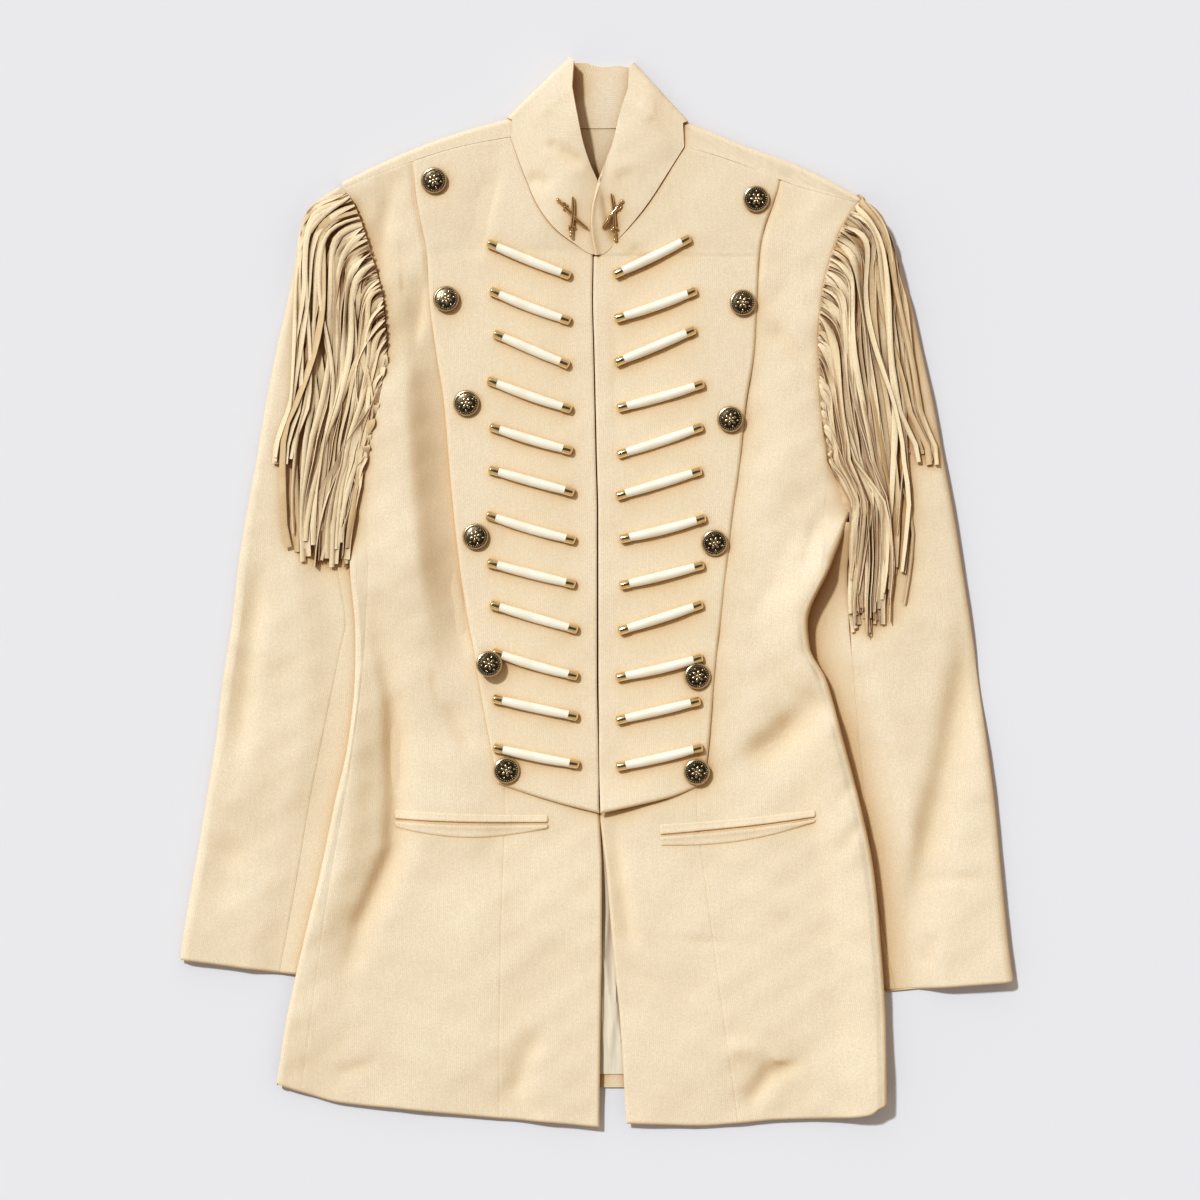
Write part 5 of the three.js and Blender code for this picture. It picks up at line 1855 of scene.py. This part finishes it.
@dataclass
class Fringe:
    """Suede fringe that hangs from each armhole over the sleeve."""

    finishes: Finishes
    strands: int = 104
    width: float = 5.4
    thickness: float = 0.8
    stops: int = 26
    top: float = 326.0
    bottom: float = 103.0
    hangs: dict[str, Hang] = field(default_factory=lambda: {
        "right": Hang(
            outer=((-212, 333), (-225, 324), (-234, 316), (-238, 306), (-241, 289), (-244, 240), (-246, 191),
                   (-248, 158), (-254, 125), (-255, 100), (-254, 56), (-250, 35), (-248, 10)),
            inner=((-188, 107), (-195, 84), (-199, 60), (-202, 40), (-204, 20), (-205, 0)),
            ends=((0, 25), (0.3, 19), (0.5, 17), (0.68, 20), (0.88, 35), (0.95, 56), (1, 80)),
            flare=6, seed=31),
        "left": Hang(
            outer=((216, 322), (226, 314), (236, 299), (243, 281), (248, 248), (252, 216), (255, 191), (259, 166),
                   (261, 150), (261, 113), (258, 80), (256, 39), (254, 17), (250, -7), (246, -40)),
            inner=((189.5, 107), (203, 84), (208, 72), (208, 27), (206, -6), (209, -40)),
            ends=((0, -30), (0.08, -34), (0.38, -36), (0.52, -20), (0.7, 0), (0.87, -5), (0.95, 20), (1, 60)),
            flare=15, seed=47),
    })

    near: tuple[Place, ...] = ((0, 1), (0.05, 0.8), (0.12, 0.55), (0.35, 0.25), (0.6, 0.12), (1, 0))

    def inner(self, half: Half, hang: Hang, y: Array) -> Array:
        """Line of the armhole seam, and below it the fringe's inner side."""
        seam = half.line("side", np.maximum(y, 107), [half.shoulder[4]])
        return np.where(y > 107, seam, through(*zip(*[p[::-1] for p in hang.inner]), y))

    def build(self) -> None:
        """Build both fringes."""
        for half in (RIGHT, LEFT):
            self.fringe(half, self.hangs[half.name])

    def fringe(self, half: Half, hang: Hang) -> Object:
        """Build one fringe as one piece."""
        dice = np.random.default_rng(hang.seed)
        points, faces, tones = [], [], []
        for k in dice.permutation(self.strands):
            share = ((k + dice.uniform(0.2, 0.8)) / self.strands) ** 1.3
            self.strand(self.path(half, hang, share, dice), dice, points, faces, tones)
        self.strip(half, points, faces, tones)
        name = f"{half.name}_fringe"
        piece = new_piece(name, np.array(points), faces, self.finishes.suede)
        mark(piece, "tone", np.array(tones))
        shade_by_angle(piece, 40)
        return declare(piece, Slot.SUEDE, name)

    def path(self, half: Half, hang: Hang, share: float, dice: np.random.Generator) -> Array:
        """Course of one strand: out from the armhole, round in an arc and down its lane to its end.

        Args:
            half: the half that it hangs on.
            hang: how that fringe hangs.
            share: its place down the armhole.
            dice: random draws.

        Returns:
            Points from root to end.
        """
        root = self.top + (self.bottom - self.top) * share
        near = np.interp(share, *zip(*self.near))
        lane = np.clip(0.75 * near + 0.25 * (1 - share) + dice.normal(0, 0.06), 0, 1)
        short = dice.uniform(0, 26) if dice.uniform() < 0.6 else dice.uniform(15, 95)
        end = min(np.interp(lane, *zip(*hang.ends)) + short, root - 32)
        flared = share < 0.05
        if flared:
            end = dice.uniform(104, 116)
        s = np.linspace(0, 1, self.stops)
        y = root - (root - end) * s ** 1.7
        falls = 1 - np.exp((y - root) / dice.uniform(4, 14))
        out = (near + (lane - near) * smooth(10, 230, root - y)) * falls
        inner = self.inner(half, hang, y)
        outer = through(*zip(*[p[::-1] for p in hang.outer]), y)
        stray = dice.choice((1.5, 3.2, 8.0), p=(0.4, 0.35, 0.25))
        drift = dice.normal(0, 8) * (2.4 if dice.uniform() < 0.2 else 1)
        waves = np.sin(s * dice.uniform(2, 5) + dice.uniform(0, 6)) + 0.4 * np.sin(s * dice.uniform(6, 11))
        x = inner + half.out * 0.8 + (outer - inner) * out
        x = x + stray * waves * smooth(0, 0.5, s) + drift * smooth(0.45, 1, s)
        x = half.out * np.clip(half.out * x, half.out * inner + 0.8, half.out * outer + 1.5)
        x = x + half.out * (hang.flare * smooth(155, 110, y) if flared else 0)
        ground = RELIEF.sleeves(half, x, y)
        inside = half.out * (half.line("edge", np.minimum(y, 64)) - x)
        over = np.where(y < half.armpit, smooth(-4, 2, inside), 0)
        ground = ground * (1 - over) + RELIEF.body(half, x, y) * over
        rim = half.out * (half.line("outer", y, [half.sleeve_top]) - x)
        fallen = np.clip(1 - rim / 8, 0, 1)
        ground = ground * (0.5 + 0.5 * np.sqrt(1 - fallen ** 2))
        layer = dice.integers(0, 6) * 0.95 + 1.5 * np.exp(-((s - 0.1) / 0.1) ** 2)
        lift = (0.9 + layer) * (1 - 0.3 * smooth(0.8, 1, s)) + 0.6 * np.sin(s * 9 + dice.uniform(0, 6))
        return np.stack([x, y, ground + np.maximum(lift, 0.8)], axis=1)

    def strand(self, path: Array, dice: np.random.Generator, points: list, faces: list, tones: list) -> None:
        """Add one ribbon, curled across and twisted along its path, on edge at its root.

        Args:
            path: its course.
            dice: random draws.
            points: all points so far.
            faces: all faces so far.
            tones: tone of each point so far.
        """
        s = np.linspace(0, 1, len(path))
        ahead = np.gradient(path, axis=0)
        ahead /= np.linalg.norm(ahead, axis=1)[:, None]
        level = np.stack([-ahead[:, 1], ahead[:, 0], np.zeros(len(path))], axis=-1)
        level /= np.linalg.norm(level, axis=1)[:, None]
        upward = np.cross(ahead, level)
        turning = dice.choice((0.35, 1.3), p=(0.72, 0.28))
        twist = dice.normal(0, 0.3) + turning * np.sin(s * dice.uniform(2, 9) + dice.uniform(0, 6))
        twist = np.clip(twist, -1.4, 1.4)[:, None] + 0.8 * np.exp(-s / 0.05)[:, None]
        side = level * np.cos(twist) + upward * np.sin(twist)
        up = np.cross(ahead, side)
        wide = self.width * dice.uniform(0.6, 1.25) * (1 - 0.25 * s) * (1 + 0.14 * np.sin(s * 17 + dice.uniform(0, 6)))
        wide = (wide * (0.5 + 0.5 * smooth(0, 0.15, s)))[:, None]
        curl = dice.choice((-1, 1)) * dice.uniform(0.02, 0.2)
        tone = np.clip(dice.normal(0.04, 0.3), 0, 0.85)
        base, size = len(points), 8
        upper = [(a, 1) for a in (-0.5, -0.22, 0.22, 0.5)]
        for place, face in upper + [(-a, -1) for a, _ in upper]:
            thick = face * self.thickness * (0.32 if abs(place) > 0.4 else 0.5)
            rise = thick + curl * wide * (1 - (2 * place) ** 2)
            points.extend(path + side * place * wide + up * rise)
            # The lower face of each ribbon takes a darker tone.
            tones.extend([tone + (0.0 if face > 0 else 0.15)] * len(path))
        count = len(path)
        for k in range(count - 1):
            for c in range(size):
                a, b = base + c * count + k, base + (c + 1) % size * count + k
                faces.append((a, a + 1, b + 1, b))
        faces.append(tuple(base + c * count for c in range(size)))
        faces.append(tuple(base + c * count + count - 1 for c in reversed(range(size))))

    def strip(self, half: Half, points: list, faces: list, tones: list) -> None:
        """Add the narrow strip that holds the roots."""
        y = np.linspace(self.top - 4, self.bottom - 2, 70)
        x = self.inner(half, self.hangs[half.name], y)
        ground = RELIEF.sleeves(half, x, y)
        base = len(points)
        across = ((0.6, -0.6), (0.7, 0.5), (1.2, 0.9), (2.0, 0.9), (2.6, 0.5), (2.7, -0.6))
        for k in range(len(y)):
            for a, b in across:
                points.append(np.array([x[k] + half.out * a, y[k], ground[k] + b]))
                tones.append(0.35)
        size = len(across)
        for k in range(len(y) - 1):
            for c in range(size):
                a, b = base + k * size + c, base + k * size + (c + 1) % size
                face = (a, b, b + size, a + size)
                faces.append(face if half.out < 0 else face[::-1])
        first = tuple(base + c for c in range(size))
        last = tuple(base + (len(y) - 1) * size + c for c in range(size))
        faces.append(first[::-1] if half.out < 0 else first)
        faces.append(last if half.out < 0 else last[::-1])


@dataclass
class Studio:
    """Plain pale floor, soft light from the upper left and a camera straight above."""

    finishes: Finishes
    width: float = 984.0
    centre: tuple[float, float] = (2.5, -5.7)
    lens: float = 100.0
    sensor: float = 36.0
    sun: float = 3.12
    ring: float = 0.60
    overhead: float = 0.07
    elevation: float = 49.0
    travel: tuple[float, float] = (0.65, -0.76)

    def build(self) -> None:
        """Build the floor, the lights and the camera."""
        deselect()
        bpy.ops.mesh.primitive_plane_add(size=12)
        floor = bpy.context.object
        floor.name = "floor"
        floor.data.materials.append(self.finishes.floor)
        distance = self.width * self.lens / self.sensor * MM
        bpy.ops.object.camera_add(location=(self.centre[0] * MM, self.centre[1] * MM, distance))
        camera = bpy.context.object
        camera.data.lens = self.lens
        camera.data.sensor_width = self.sensor
        camera.data.clip_end = 50
        bpy.context.scene.camera = camera
        down = math.tan(math.radians(self.elevation))
        ray = Vector((self.travel[0], self.travel[1], -math.hypot(*self.travel) * down))
        bpy.ops.object.light_add(type="SUN", location=(-2, 2, 3))
        light = bpy.context.object
        light.rotation_euler = ray.to_track_quat("-Z", "Y").to_euler()
        light.data.energy = self.sun
        light.data.angle = math.radians(5)
        light.data.color = (0.85, 0.92, 1.0)
        world = bpy.data.worlds.new("studio")
        world.use_nodes = True
        graph = Graph(world.node_tree)
        way = graph.node("ShaderNodeTexCoord").outputs["Generated"]
        up = graph.node("ShaderNodeSeparateXYZ", {0: way}).outputs[2]
        background = world.node_tree.nodes["Background"]
        background.inputs["Color"].default_value = (1.0, 0.87, 0.74, 1)
        level = graph.steps(up, 0.76, 0.88, self.ring, self.overhead)
        graph.link(level, background.inputs["Strength"])
        bpy.context.scene.world = world
        bpy.context.scene.view_settings.view_transform = "Standard"
        bpy.context.scene.view_settings.look = "None"


def main() -> None:
    """Build the jacket, its trims and the studio."""
    logging.basicConfig(level=logging.INFO, format="%(name)s %(message)s")
    finishes = Finishes()
    Studio(finishes).build()
    for assembly in (Body(finishes), Sleeves(finishes), Collar(finishes), Bibs(finishes), Buttons(finishes),
                     Pipes(finishes), Pins(finishes), Fringe(finishes)):
        assembly.build()


if __name__ == "__main__":
    main()
